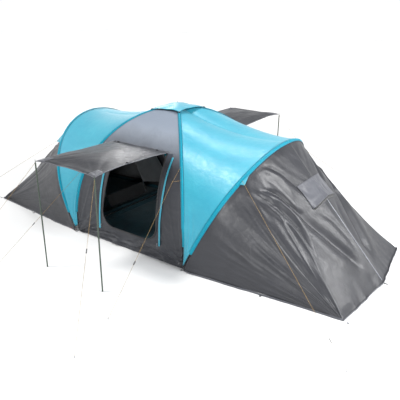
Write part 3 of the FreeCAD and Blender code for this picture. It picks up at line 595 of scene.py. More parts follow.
def front_folds(grid, edge, seed):
    """Height of the panel's folds: from its feet, along its hem and beside the doorway."""
    x, z = grid[..., 0], grid[..., 2]
    share = x / edge[:, None]
    calm = np.clip(1 - share ** 2, 0, 1) * step_between(0.0, 0.25, z)
    height = -0.010 * calm * step_between(1.95, 1.5, z)
    for sx in (-1, 1):
        fx, fz = x * sx - DOME_FOOT[0], z + 0.02
        reach = np.hypot(fx, fz)
        angle = np.arctan2(fz, -fx)
        fan = noise(angle * 12.0 + seed, reach * 1.2, seed + 3)
        near_foot = np.exp(-reach / 0.36) * step_between(0.0, 0.10, reach)
        height += 0.016 * fan * near_foot
        height += 0.045 * crests(angle * 6.0 + seed, reach * 0.8, seed + 5) * near_foot
    hem = crumple(x * 5.0 + z * 6.0, z * 17.0 - x * 1.5, seed + 11)
    height += 0.024 * hem * np.exp(-z / 0.16)
    low_folds = crests(x * 2.2, (z + 0.12 * x * x) * 18.0, seed + 13)
    height += 0.034 * low_folds * step_between(0.30, 0.12, z)
    slack = noise(x * 1.6, (z + 0.05 * x * x) * 26.0, seed + 15) * step_between(0.34, 0.20, z)
    height += 0.010 * slack * step_between(0.75, 0.45, np.abs(x))
    beside_door = step_between(0.12, 0.0, np.abs(np.abs(x) - 0.66)) * step_between(1.3, 0.6, z)
    height += 0.011 * noise(x * 3.0 + z * 2.0, z * 11.0, seed + 21) * beside_door
    for number, level in enumerate((0.40, 0.50, 0.59, 0.71, 0.80)):
        away = np.abs(x) - 0.84
        wander = 0.012 * noise(x * 7.0, x * 0 + number, seed + 35)
        droop = level + 0.30 * away * away * 10 - 0.12 * away + wander
        window = step_between(0.68, 0.76, np.abs(x)) * step_between(1.02, 0.90, np.abs(x))
        height += 0.011 * window * ridge(z - droop, 0.014)
    drapes = noise(x * 6.0 + 0.6 * z, z * 1.4, seed + 31)
    between = step_between(0.1, 0.5, z) * step_between(1.55, 1.15, z)
    height += 0.008 * drapes * between * step_between(1.0, 0.93, np.abs(share))
    return height * step_between(1.0, 0.985, np.abs(share)) * step_between(0.0, 0.035, z)


def doorway_outline(lift):
    """The doorway's edge as a closed path just outside the panel."""
    z_side = np.concatenate([DOOR_SILL + DOOR_CORNER * (1 - np.cos(np.linspace(0, math.pi / 2, 14))),
                             np.linspace(DOOR_SILL + DOOR_CORNER, DOOR_TOP, 40)[1:]])
    x_side = door_half_width(z_side)
    x_side[0] = DOOR_LOW_HALF - DOOR_CORNER
    sill_x = np.linspace(-x_side[0], x_side[0], 20)
    head_x = np.linspace(x_side[-1], -x_side[-1], 24)
    x = np.concatenate([sill_x, x_side[1:], head_x[1:], -x_side[::-1][1:-1]])
    z = np.concatenate([np.full(20, DOOR_SILL), z_side[1:], np.full(23, DOOR_TOP), z_side[::-1][1:-1]])
    y = DOME.at(DOME.for_height(z))[:, 1] - lift
    return np.stack([x, y, z], -1) + DOOR_SHIFT


def ground_hem(name, line):
    """A bound hem that stands on edge, just clear of the ground."""
    line[:, 2] = np.maximum(line[:, 2], 0.0125)
    sweep(name, line, ribbon_section(0.004, 0.022), GRAY_PATCH)


for depth, sy in DEPTHS.items():
    seed = 5 if depth == "near" else 47
    smooth_front, front_keep, front_edge = front_grid()
    folded = raised(smooth_front, front_folds(smooth_front, front_edge, seed))
    folded[..., 2] = np.maximum(folded[..., 2], 0.003)
    sheet_piece(f"front_panel_{depth}", mirrored(folded, 1, sy), GRAY_FRONT, f"fly_front_{depth}",
                "stretched", ["dome_sleeves"], keep=front_keep)
    outline = mirrored(doorway_outline(0.003), 1, sy)
    sweep(f"door_binding_{depth}", outline, ribbon_section(0.022, 0.004), WEBBING, closed=True,
          facing=(0, sy, 0.25))
    teeth_line = mirrored(doorway_outline(0.006), 1, sy)
    tube(f"door_zip_teeth_{depth}", teeth_line, 0.0022, BLACK_PLASTIC, closed=True)
    ground_hem(f"front_hem_{depth}", mirrored(folded[0, 1:-1], 1, sy))


# ---------------------------------------------------------------- flysheet: blue sides between dome and arch
def towards(p, q, gap):
    """p moved by gap towards q."""
    d = q - p
    length = np.linalg.norm(d, axis=-1, keepdims=True)
    return p + d / length * np.minimum(gap, 0.3 * length)


def side_edges(k):
    """Points on the dome line and on the arch line, for k from 0 at the near foot to 2 at the far foot."""
    k = np.asarray(k, float)
    share = np.minimum(k, 2 - k)
    p = DOME.at(share * DOME.half)
    p[..., 1] = np.where(k > 1, -p[..., 1], p[..., 1])
    q = ARCH.at(k * ARCH.half)
    return p, q, share


SIDE_INSIDE = (1.3, 0, 0.6)


def side_grid(rows=190, columns=54):
    k = np.linspace(0.035, 1.965, rows)
    p, q, share = side_edges(k)
    a, b = towards(p, q, PANEL_INSET), towards(q, p, PANEL_INSET)
    t = np.linspace(0, 1, columns)
    grid = a[:, None] + (b - a)[:, None] * t[None, :, None]
    sag = 0.130 * share ** 3
    grid[..., 2] -= 4 * sag[:, None] * t * (1 - t)
    return grid, k, share, t


def side_folds(grid, k, share, t, seed):
    """Creases that run down the blue cloth to the feet, and soft pulls beside its sleeves."""
    width = np.linalg.norm(grid[:, -1] - grid[:, 0], axis=1)[:, None]
    across = t[None, :] * width
    low = step_between(0.42, 0.12, share)[:, None]
    edge = np.minimum(t, 1 - t)[None, :]
    inside = step_between(0.0, 0.06, edge)
    long_folds = noise(across * 9.0, share[:, None] * 3.0 + (k[:, None] > 1) * 9, seed)
    pulls = noise(k[:, None] * 26.0, t[None, :] * 1.5, seed + 5) * np.exp(-edge / 0.09)
    waves = noise(k[:, None] * 7.0, t[None, :] * 2.2, seed + 9)
    slant = noise(k[:, None] * 17.0 + t[None, :] * 7.0, t[None, :] * 2.0, seed + 13) * low
    return inside * (0.007 * long_folds * low + 0.0035 * pulls + 0.004 * waves + 0.006 * slant)


for side, sx in SIDES.items():
    side_seed = 101 if side == "right" else 151
    smooth_side, side_k, side_share, side_t = side_grid()
    folds = side_folds(smooth_side, side_k, side_share, side_t, side_seed)
    folded = raised(smooth_side, folds, SIDE_INSIDE)
    sheet_piece(f"side_panel_{side}", mirrored(folded, sx), BLUE, f"fly_side_{side}",
                "stretched", ["dome_sleeves", "arch_sleeves"])


# ---------------------------------------------------------------- flysheet: gray sleeping ends
CORNER = np.array([END_CORNER[0], -END_CORNER[1], HEM_Z])
NOSE = np.array([END_NOSE, 0.0, HEM_Z])
TURN = 0.86                       # share of the arch at which the hem turns the corner
END_SAG_WAY = np.array([-0.35, 0.55, -0.75])
END_INSIDE = (2.4, 0, 0.3)


def end_grid(columns=96):
    """The near half of the right end. Rows go up the arch to the ridge, columns down to the hem."""
    fan = np.linspace(0.001, TURN, 124, endpoint=False)
    front = np.linspace(TURN, 1.0, 46)
    share = np.concatenate([fan, front])
    past_turn = np.clip((share - TURN) / (1 - TURN), 0, 1)
    hem_share = step_between(TURN - 0.05, 1.0, share) * 0.3 + 0.7 * past_turn
    hem_share[-1] = 1.0
    p = ARCH.at(share * ARCH.half)
    q = CORNER + (NOSE - CORNER) * hem_share[:, None]
    start = p + unit(q - p) * (PANEL_INSET + 0.016 * step_between(0.03, 0.0, share))[:, None]
    t = np.linspace(0, 1, columns) ** 0.93
    grid = start[:, None] + (q - start)[:, None] * t[None, :, None]
    depth = 0.120 * np.sin(math.pi * np.minimum(share, 1.0)) ** 0.7
    depth = np.where(share > 0.999, 0, depth)
    grid += END_SAG_WAY * (4 * depth[:, None] * t * (1 - t))[..., None]
    return grid, share, t


# Deep folds as marks along t and along the arch's share, then half width and depth.
DEEP_FOLDS = (
    ((0.10, 0.20, 0.395, 0.571, 0.753, 0.90), (0.66, 0.742, 0.863, 0.913, 0.953, 0.97), 0.013, 0.034),
    ((0.02, 0.065, 0.146, 0.278, 0.36), (0.74, 0.791, 0.853, 0.907, 0.93), 0.012, 0.018),
    ((0.05, 0.18, 0.46, 0.75), (0.60, 0.666, 0.80, 0.88), 0.011, 0.014),
    ((0.42, 0.53, 0.672, 0.80), (0.925, 0.962, 0.985, 0.99), 0.010, 0.012),
)


def end_folds(share, t, seed):
    """Long tension folds from the arch towards the corner, a few deep ones, and crumpled edges."""
    s, t = share[:, None], t[None, :]
    rng = np.random.default_rng(seed)
    height = np.zeros((len(share), t.shape[1]))
    for centre in np.linspace(0.16, 0.72, 24):
        centre = centre + rng.uniform(-0.014, 0.014)
        lean = rng.uniform(-0.05, 0.03)
        width = rng.uniform(0.006, 0.014)
        begin, stop = rng.uniform(0.0, 0.25), rng.uniform(0.60, 0.97)
        tall = rng.uniform(0.007, 0.017) * (0.7 + 0.6 * centre)
        wander = 0.012 * noise(t * 3.0, centre * 40, seed + 2)
        window = step_between(begin, begin + 0.16, t) * step_between(stop, stop - 0.3, t)
        height += tall * window * ridge(s - centre - lean * t - wander, width * (1 + 0.8 * t))
    for marks_t, marks_s, width, deep in DEEP_FOLDS:
        line = np.interp(t, marks_t, marks_s) + 0.006 * noise(t * 4.0, marks_s[0] * 50, seed + 4)
        window = step_between(marks_t[0], marks_t[1], t) * step_between(marks_t[-1], marks_t[-2], t)
        height -= deep * window * np.exp(-((s - line) / width) ** 2)
        height += 0.55 * deep * window * np.exp(-((s - line + 2.4 * width) / (1.6 * width)) ** 2)
    soft = noise(s * 8.0 - t * 2.0, t * 2.0, seed + 6) * 0.016 + noise(s * 26.0, t * 3.0, seed + 7) * 0.004
    drawn = noise((s - 0.55 * t) * 44.0, (s + t) * 2.0, seed + 17) * step_between(0.60, 0.72, s)
    drawn = drawn * step_between(0.5, 0.3, t)
    soft += 0.0045 * drawn
    long_crests = crests(s * 16.0 - t * 1.2, t * 1.3, seed + 12) * step_between(0.04, 0.25, t)
    long_crests = long_crests * step_between(1.0, 0.80, t)
    soft += 0.010 * long_crests * step_between(0.06, 0.16, s) * step_between(0.72, 0.64, s)
    near_hem = np.exp(-s / 0.05) * step_between(0.0, 0.06, t)
    small, large = noise(t * 20.0, s * 30.0, seed + 8), noise(t * 6.0, s * 90.0, seed + 9)
    hem = near_hem * (0.009 * small + 0.012 * large)
    front_hem = np.exp(-(1 - t) / 0.06) * step_between(TURN, TURN + 0.05, s)
    hem += 0.010 * front_hem * noise(s * 110.0, t * 6.0, seed + 10)
    fade = step_between(0.0, 0.05, t) * step_between(1.0, 0.93, t) + 0.6 * front_hem
    ridge_fade = step_between(1.0, 0.975, s)
    return (height + soft) * fade * ridge_fade + hem * ridge_fade


end_grids = {}
for side, sx in SIDES.items():
    end_seed = 211 if side == "right" else 263
    smooth_end, end_share, end_t = end_grid()
    halves = []
    for sy in (-1, 1):
        folded = raised(smooth_end, end_folds(end_share, end_t, end_seed + 31 * (sy > 0)), END_INSIDE)
        folded[..., 2] = np.maximum(folded[..., 2], 0.003)
        folded[-1, :, 1] = 0.0
        halves.append(mirrored(folded, sx, sy))
    whole = np.concatenate([halves[0], halves[1][::-1][1:]])
    end_grids[side] = whole
    sheet_piece(f"end_panel_{side}", whole, GRAY, f"fly_end_{side}",
                "stretched", ["arch_sleeves", "ground_pegs"])


# ---------------------------------------------------------------- pole sleeves, sewn along the edges of the panels
def sleeve_section(pole_points, sewn_points, first_way, second_way, seed):
    """Rows of points across a sleeve: two flanges on the panels and the tunnel over the pole."""
    ahead = unit(np.gradient(pole_points, axis=0))
    wide = unit(second_way - first_way)
    out = unit(np.cross(ahead, wide))
    out[(out * (sewn_points - np.array([sewn_points[:, 0].mean() * 0.4, 0, 0.5]))).sum(1) < 0] *= -1
    along = np.cumsum(np.r_[0, np.linalg.norm(np.diff(pole_points, axis=0), axis=1)])
    swell = 1 + 0.10 * noise(along * 14.0, 0.5 + 0 * along, seed)
    lift = 0.0030 + 0.0012 * noise(along * 22.0, 2.5 + 0 * along, seed + 1)
    columns = [sewn_points + first_way * FLANGE + out * lift[:, None],
               sewn_points + first_way * FLANGE * 0.62 + out * (lift * 1.2)[:, None]]
    for turn in np.linspace(math.radians(160), math.radians(20), 9):
        spoke = wide * math.cos(turn) + out * math.sin(turn)
        columns.append(pole_points + spoke * (0.0125 * swell)[:, None])
    columns += [sewn_points + second_way * FLANGE * 0.62 + out * (lift * 1.2)[:, None],
                sewn_points + second_way * FLANGE + out * lift[:, None]]
    return np.stack(columns, 1)


def dome_sleeve_rows(lift, seed):
    """The sleeve on the near right half of a dome pole."""
    along = np.linspace(SLEEVE_START, DOME.half - SLEEVE_STOP, 110)
    pole_points = dome_pole(1, lift).at(along + lift)
    share = along / DOME.half
    p, q, _ = side_edges(share)
    first = np.broadcast_to(np.array([-1.0, 0, 0]), p.shape)
    return sleeve_section(pole_points, p, first, unit(q - p), seed)


def arch_sleeve_rows(seed):
    """The sleeve on the near half of the right arch."""
    along = np.linspace(SLEEVE_START, ARCH.half, 120)
    share = along / ARCH.half
    p, q, _ = side_edges(share)
    hem_share = np.clip((share - TURN) / (1 - TURN), 0, 1)[:, None]
    hem = CORNER + (NOSE - CORNER) * hem_share
    return sleeve_section(q, q, unit(p - q), unit(hem - q), seed)


def sewn_sleeve(name, rows, node, sx, sy):
    """A sleeve that is a part of the frame's node, with piping along both of its seams."""
    piece = cloth_piece(name, mirrored(rows, sx, sy), TRIM)
    for label, column in (("inner", 0), ("outer", -1)):
        tube(f"{name}_{label}_piping", mirrored(rows[:, column], sx, sy), 0.0021, PIPING, sides=6)
    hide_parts(node)


for side, sx, depth, sy in QUARTERS:
    lift = LIFT_A if sx * sy < 0 else 0.0
    dome_rows, arch_rows = dome_sleeve_rows(lift, 300 + sx + 2 * sy), arch_sleeve_rows(320 + sx + 2 * sy)
    sewn_sleeve(f"dome_sleeve_{depth}_{side}", dome_rows, "dome_sleeves", sx, sy)
    sewn_sleeve(f"arch_sleeve_{depth}_{side}", arch_rows, "arch_sleeves", sx, sy)


# ---------------------------------------------------------------- awnings
def awning_grid(rows=70, columns=64):
    t = np.linspace(0, 1, rows)[:, None]
    u = np.linspace(-1, 1, columns)[None, :]
    half = AWNING_HALF[0] + (AWNING_HALF[1] - AWNING_HALF[0]) * t
    root_z = AWNING_HINGE[1] + 0.014
    y = -(AWNING_HINGE[0] + (AWNING_TIP[0] - AWNING_HINGE[0]) * t) + 0.035 * (1 - u * u) * (2 * t - 1)
    z = root_z + (AWNING_TIP[1] - root_z) * t + 0.055 * 4 * t * (1 - t) * (1 - 0.85 * u * u)
    draw_in = 1 - 0.05 * 4 * t * (1 - t) + 0.036 * (u * t) ** 10
    y = y - 0.014 * (u * t) ** 10
    z = z - 0.016 * (u * t) ** 10
    return np.stack(np.broadcast_arrays(u * half * draw_in, y, z), -1) + DOOR_SHIFT, t, u


def awning_folds(t, u, seed):
    """Pulls from the two pole corners and a slack middle."""
    height = 0.006 * noise(u * 3.0, t * 4.0, seed)
    for corner in (-1, 1):
        du, dt = (u - corner) * 0.55, (1 - t) * 1.4
        reach = np.hypot(du, dt)
        angle = np.arctan2(dt, du * -corner)
        fan = noise(angle * 7.0 + seed, reach * 2.0, seed + 2) + crests(angle * 5.0, reach, seed + 3)
        height += 0.010 * fan * np.exp(-reach / 0.45) * step_between(0.0, 0.12, reach)
    height += 0.005 * noise(u * 12.0, t * 1.6, seed + 5) * step_between(0.45, 0.0, t)
    return height - 0.016 * np.exp(-((t - 0.93) / 0.10) ** 2) * (1 - u * u)


AWNING_INSIDE = (0, -1.6, 0.0)
awning_grids = {}
for depth, sy in DEPTHS.items():
    body = f"awning_{depth}"
    smooth_awning, awning_t, awning_u = awning_grid()
    folded = raised(smooth_awning, awning_folds(awning_t, awning_u, 400 + sy), AWNING_INSIDE)
    awning_grids[depth] = folded
    sheet_piece(f"awning_sheet_{depth}", mirrored(folded, 1, sy), GRAY, body,
                "stretched", ["awning_poles_" + depth], body=body)
    rim = mirrored(rim_of(folded), 1, sy)
    sweep(f"awning_hem_{depth}", rim, ribbon_section(0.020, 0.0045), GRAY_PATCH, body, closed=True)
    for side, sx in SIDES.items():
        patch = raised(folded[-9:, :8] if sx < 0 else folded[-9:, -8:], np.full((9, 8), 0.003), AWNING_INSIDE)
        cloth_piece(f"awning_corner_{depth}_{side}", mirrored(patch, 1, sy), GRAY_PATCH, body)


# ---------------------------------------------------------------- roof cap
def roof_cap_grid(count=41):
    u = np.linspace(-1, 1, count)[:, None]
    v = np.linspace(-1, 1, count)[None, :]
    bow = 0.10
    x = u * (1 - bow * (1 - v * v)) * CAP_REACH * DOME.across[0]
    y = v * (1 - bow * (1 - u * u)) * CAP_REACH * -DOME.across[1]
    reach = np.hypot(x, y)
    drop = DOME.crown_radius - np.sqrt(DOME.crown_radius ** 2 - reach ** 2)
    share = np.clip(reach / CAP_REACH, 0, 1)
    along_a = -2 * u * v / np.maximum(u * u + v * v, 1e-6)
    along_a = 1 + (along_a - 1) * step_between(0.0, 0.35, share)
    on_pole = np.abs(along_a)
    z = DOME_PEAK + 0.0170 - drop + LIFT_A * (0.5 + 0.5 * along_a) - 0.026 * (1 - on_pole) * share
    z = z + 0.003 * noise(u * 4.0, v * 4.0, 31) * (1 - on_pole)
    return np.stack(np.broadcast_arrays(x, y, z), -1)


cap_grid = roof_cap_grid()
sheet_piece("roof_cap_sheet", cap_grid, BLUE, "roof_cap", "stretched", ["dome_sleeves", "roof_cap_clips"])
sweep("roof_cap_hem", rim_of(cap_grid), ribbon_section(0.014, 0.0034), TRIM, closed=True)


# ---------------------------------------------------------------- blue strips that guard the door zips
def zip_flap_grid(seed):
    z = np.linspace(0.190, 1.440, 90)
    line = DOME.at(DOME.for_height(z))
    share = (z - z[0]) / (z[-1] - z[0])
    inner = 0.578 - 0.018 * share
    v = np.linspace(0, 1, 6)
    x = inner[:, None] + 0.030 * v[None, :]
    x = x + 0.004 * noise(z * 5.0, 0.5 + 0 * z, seed)[:, None]
    lift = 0.006 + 0.006 * (0.5 + 0.5 * noise(z * 7.0, 1.5 + 0 * z, seed + 1))[:, None] * v[None, :]
    y = line[:, 1:2] - lift
    return np.stack(np.broadcast_arrays(x, y, z[:, None]), -1)


for side, sx, depth, sy in QUARTERS:
    flap_grid = mirrored(zip_flap_grid(60 + sx + 3 * sy), sx, sy) + DOOR_SHIFT
    sheet_piece(f"zip_flap_{depth}_{side}", flap_grid, BLUE, "door_zip_flaps", "hung", [f"fly_front_{depth}"])


# ---------------------------------------------------------------- vent hoods
VENT_TOP = np.array([2.279, 0.0, 1.251])
VENT_LOW = np.array([2.500, 0.0, 1.020])
VENT_HALF = 0.365
VENT_OUT = np.array([0.74, 0.0, 0.67])


def vent_hood_grid(seed, rows=36, columns=61):
    """The right vent hood, laid on the end panel: its top edge is sewn down and its low lip stands off."""
    t = np.linspace(0, 1, rows)[:, None]
    v = np.linspace(-1, 1, columns)[None, :]
    away = np.sqrt(v * v + 0.004) - math.sqrt(0.004)
    middle = VENT_TOP + (VENT_LOW - VENT_TOP) * t[..., None]
    corner_top = VENT_TOP + np.array([-0.021, 0, -0.021])
    corner_low = VENT_LOW + np.array([-0.003, 0, -0.055])
    edge = corner_top + (corner_low - corner_top) * t[..., None]
    base = middle + (edge - middle) * away[..., None]
    sewn = 1 - np.abs(v) ** 10
    lift = 0.006 + (0.036 * t ** 3 + 0.004 * np.sin(math.pi * t)) * sewn + 0.008 * t ** 2 * (1 - away)
    wrinkle = 0.0035 * noise(v * 13.0 + t * 2.0, t * 1.5, seed) + 0.0025 * noise(v * 5.0, t * 7.0, seed + 1)
    base[..., 1] = v * VENT_HALF
    panel = end_grids["right"]
    tree = BVHTree.FromPolygons([tuple(p) for p in panel.reshape(-1, 3)], grid_faces(*panel.shape[:2]))
    way = -Vector(VENT_OUT).normalized()
    for i in range(rows):
        for j in range(columns):
            hit = tree.ray_cast(Vector(base[i, j]) - way * 0.3, way, 0.8)[0]
            if hit is not None:
                base[i, j] = hit
    return base + VENT_OUT * (lift + wrinkle * step_between(0.0, 0.15, t))[..., None]


for side, sx in SIDES.items():
    body = f"vent_hood_{side}"
    hood_grid = mirrored(vent_hood_grid(71 + sx), sx)
    sheet_piece(f"vent_hood_sheet_{side}", hood_grid, GRAY_PATCH, body,
                "hung", [f"fly_end_{side}"], body=body)
    out = VENT_OUT * [sx, 1, 1]
    sweep(f"vent_hood_hem_{side}", hood_grid[-1], ribbon_section(0.012, 0.004), GRAY_PATCH, body, facing=out)
    # A near-black strip from the hood's lip down onto the end panel: painted shadow under the lip.
    hood_shadow_strip = np.stack([hood_grid[-1] - out * gap for gap in (0.006, 0.037)])
    hood_shadow_strip[1] += unit(VENT_LOW - VENT_TOP) * [sx, 1, 1] * 0.042
    cloth_piece(f"vent_hood_painted_shadow_{side}", hood_shadow_strip, INNER_DARK, thickness=THIN)


# ---------------------------------------------------------------- netting in the far doorway and behind the vents
def door_net_grid(rows=60, columns=50):
    z = np.linspace(DOOR_SILL - 0.030, DOOR_TOP + 0.028, rows)
    line = DOME.at(DOME.for_height(z))
    half = door_half_width(np.clip(z, DOOR_SILL + 0.002, DOOR_TOP)) + 0.028
    u = np.linspace(-1, 1, columns)
    x = u[None, :] * half[:, None]
    billow = 0.004 * noise(u[None, :] * 4.0, z[:, None] * 3.0, 83)
    y = line[:, 1:2] + 0.040 + billow
    return np.stack(np.broadcast_arrays(x, y, z[:, None]), -1) + DOOR_SHIFT


sheet_piece("far_door_netting", mirrored(door_net_grid(), 1, 1), NETTING, "far_door_mesh",
            "stretched", ["fly_front_far"], thickness=NET)

for side, sx in SIDES.items():
    for depth, sy in DEPTHS.items():
        top = VENT_TOP + np.array([0.010, 0.002, -0.020]) - VENT_OUT * 0.045
        low = VENT_LOW + np.array([-0.020, 0.002, 0.030]) - VENT_OUT * 0.045
        t = np.linspace(0, 1, 16)[:, None, None]
        v = np.linspace(0, 1, 20)[None, :, None]
        patch = top + (low - top) * t + np.array([-0.022, 0.305, -0.018]) * v
        patch[..., 2] += 0.003 * noise(t[..., 0] * 3.0, v[..., 0] * 4.0, 85)
        patch = mirrored(patch, sx, -sy)
        sheet_piece(f"vent_netting_{depth}_{side}", patch, NETTING, "vent_mesh",
                    "stretched", [f"fly_end_{side}"], thickness=NET)


# ---------------------------------------------------------------- groundsheet and inner cabins
def tray_grid(low, high, height, seed, base=0.0022, count=90, wrinkle=0.006):
    """A floor of groundsheet with its four sides turned up."""
    def axis(a, b):
        rise = np.linspace(0, 1, 7)
        inner = np.linspace(a, b, count)
        return np.r_[np.full(6, a), inner, np.full(6, b)], np.r_[rise[::-1][:-1], np.zeros(count), rise[1:]]
    x, up_x = axis(low[0], high[0])
    y, up_y = axis(low[1], high[1])
    up = np.maximum(up_x[None, :], up_y[:, None])
    x, y = np.broadcast_arrays(x[None, :], y[:, None])
    fold = crumple(x * 3.0, y * 3.0, seed) + 0.7 * ridge(noise(x * 1.3, y * 1.3, seed + 9), 0.05)
    z = base + wrinkle * np.clip(fold, 0, 1.4) * (up == 0) + (height - base) * up
    lean = 0.004 * noise(x * 5.0 + y * 5.0, 3.0 * up, seed + 4) * (up > 0)
    return np.stack([x - np.sign(x) * np.abs(lean), y - np.sign(y) * np.abs(lean), z], -1)


sheet_grid = tray_grid((-0.998, -1.213), (0.998, 1.213), 0.070, 91)
sheet_piece("groundsheet_tray", sheet_grid, GROUND, "groundsheet", "laid", ["foot_pins"])

CABIN_SHRINK = 0.860              # the cabin's hoop against the arch
CABIN_LEAN = 0.985
CABIN_FLOOR_Z = 0.070
CABIN_BACK = (3.118, 1.020)       # x and half width of the low back edge
CABIN_DOOR_HALF = 0.480
CABIN_SILL_TOP = 0.200            # up the wall, from the hoop's feet
CABIN_ARC_HEIGHT = 0.830
CABIN_ARC_START = 0.55            # share of the hoop opposite the start of the doorway's round head
CABIN_SKIRT_HALF = 1.016
# The near-black strip over the pale floor here is painted shade inside the tent.
FLOOR_SHADE_STRIP_X = (1.0015, 1.1485)    # between the groundsheet and a cabin's floor


def cabin_hoop(share, shrink, shift):
    p = ARCH.at(np.asarray(share) * ARCH.half)
    x, y, z = np.moveaxis(p, -1, 0)
    return np.stack([x * CABIN_LEAN + shift, y * shrink, CABIN_FLOOR_Z + z * shrink], -1)


def cabin_roof_grid(seed, rows=44, columns=50):
    """The near half of a cabin's walls and roof, hung from its hoop and its low back edge."""
    share = np.linspace(0.03, 1.0, rows)
    front = cabin_hoop(share, CABIN_SHRINK, 0.045)
    back_x, back_half = CABIN_BACK
    back_y = -back_half * (1 - np.maximum(0.0, share - 0.55) / 0.45)
    back_z = CABIN_FLOOR_Z + 0.060 * np.minimum(1.0, share * 3)
    back = np.stack([np.full(rows, back_x), back_y, back_z], -1)
    front[-1, 1] = back[-1, 1] = 0.0
    t = np.linspace(0, 1, columns)
    grid = front[:, None] + (back - front)[:, None] * t[None, :, None]
    depth = 0.120 * np.sin(math.pi * share) ** 0.7
    grid += END_SAG_WAY * (4 * depth[:, None] * t * (1 - t))[..., None]
    fold = 0.007 * noise(share[:, None] * 14.0, t[None, :] * 3.0, seed) * np.sin(math.pi * t)[None, :]
    fold = fold * step_between(1.0, 0.93, share)[:, None]
    grid = raised(grid, fold, END_INSIDE)
    grid[-1, :, 1] = 0.0
    return grid


def cabin_wall_grid(rings=22, spokes=161):
    """The cabin's front wall: cloth between its D-shaped doorway and its hoop."""
    k = np.linspace(0.04, 1.96, spokes)
    rim = cabin_hoop(k, CABIN_SHRINK - 0.010, 0.030)
    first, top, last = rim[0], rim[spokes // 2], rim[-1]
    normal = unit(np.cross(top - first, last - first))
    rim = rim - ((rim - first) @ normal)[:, None] * normal
    level = (first + last) / 2
    lean = unit(top - level)
    across = rim[:, 1]
    height = (rim - level) @ lean
    half, stop = CABIN_DOOR_HALF, 2 - CABIN_ARC_START
    angle = np.interp(k, [CABIN_ARC_START, stop], [math.pi, 0.0])
    arc = (k > CABIN_ARC_START) & (k < stop)
    side_h = np.interp(np.minimum(k, 2 - k), [0.04, CABIN_ARC_START], [CABIN_SILL_TOP, CABIN_ARC_HEIGHT])
    side_y = np.interp(k, [0.04, CABIN_ARC_START, stop, 1.96], [-half, -half, half, half])
    door_h = np.where(arc, CABIN_ARC_HEIGHT + half * np.sin(angle), side_h)
    door_y = np.where(arc, half * np.cos(angle), side_y)
    t = np.linspace(0, 1, rings)[:, None]
    y = across[None, :] * (1 - t) + door_y[None, :] * t
    h = height[None, :] * (1 - t) + door_h[None, :] * t
    wave = 0.010 * noise(y * 5.0, h * 2.0, 97) * np.sin(math.pi * t)
    grid = level + lean * h[..., None] + ACROSS * y[..., None] + normal * wave[..., None]
    return grid, level, lean, normal


for side, sx in SIDES.items():
    node = f"inner_cabin_{side}"
    for depth, sy in DEPTHS.items():
        roof_grid = mirrored(cabin_roof_grid(95 + sx + 3 * sy), sx, sy)
        sheet_piece(f"cabin_roof_{depth}_{side}", roof_grid, INNER, node, "hung", ["arch_sleeves"])
        low_edge = roof_grid[0]
        floor_edge = low_edge.copy()
        floor_edge[:, 1] = CABIN_SKIRT_HALF * sy
        floor_edge[:, 2] = 0.060
        blend = np.linspace(0, 1, 6)[:, None, None]
        skirt_grid = low_edge[None] * (1 - blend) + floor_edge[None] * blend
        sheet_piece(f"cabin_skirt_{depth}_{side}", skirt_grid, INNER_DARK, node,
                    "hung", [f"cabin_roof_{depth}_{side}"])
    wall_grid, level, lean, normal = cabin_wall_grid()
    sheet_piece(f"cabin_wall_{side}", mirrored(wall_grid, sx), INNER, node, "hung", ["arch_sleeves"])
    sill_y = np.linspace(-CABIN_DOOR_HALF, CABIN_DOOR_HALF, 12)
    sill_h = np.linspace(-0.010, CABIN_SILL_TOP, 8)
    sill = level + lean * sill_h[:, None, None] + ACROSS * sill_y[None, :, None]
    sheet_piece(f"cabin_sill_{side}", mirrored(sill, sx), INNER_DARK, node, "hung", [f"cabin_wall_{side}"])
    rim = wall_grid[-1]
    tube(f"cabin_door_zip_{side}", mirrored(rim + normal * -0.004, sx), 0.004, BLACK_PLASTIC, sides=6)
    # A near-black strip over the floor between the groundsheet and the cabin floor: painted shade inside the tent.
    strip_x, strip_y = np.meshgrid(np.linspace(*FLOOR_SHADE_STRIP_X, 10), np.linspace(-1.15, 1.15, 70), indexing="ij")
    strip_z = np.maximum(0.003 + 0.003 * crumple(strip_x * 6, strip_y * 4, 17 + sx), 0.0008)
    strip_grid = mirrored(np.stack([strip_x, strip_y, strip_z], -1), sx)
    sheet_piece(f"floor_shade_strip_{side}", strip_grid, INNER_DARK, None,
                "laid", ["groundsheet_tray"], thickness=THIN)
    floor_grid = tray_grid((1.152, -1.018), (3.112, 1.018), 0.064, 99 + sx)
    sheet_piece(f"cabin_floor_{side}", mirrored(floor_grid, sx), GROUND, node,
                "laid", [f"cabin_roof_near_{side}"])


# ---------------------------------------------------------------- guy tabs on the arches and short cords on the domes
KNOT = np.array(GUY_ROUTES["dome"][0])
TAB_START = np.array(GUY_ROUTES["arch"][0])


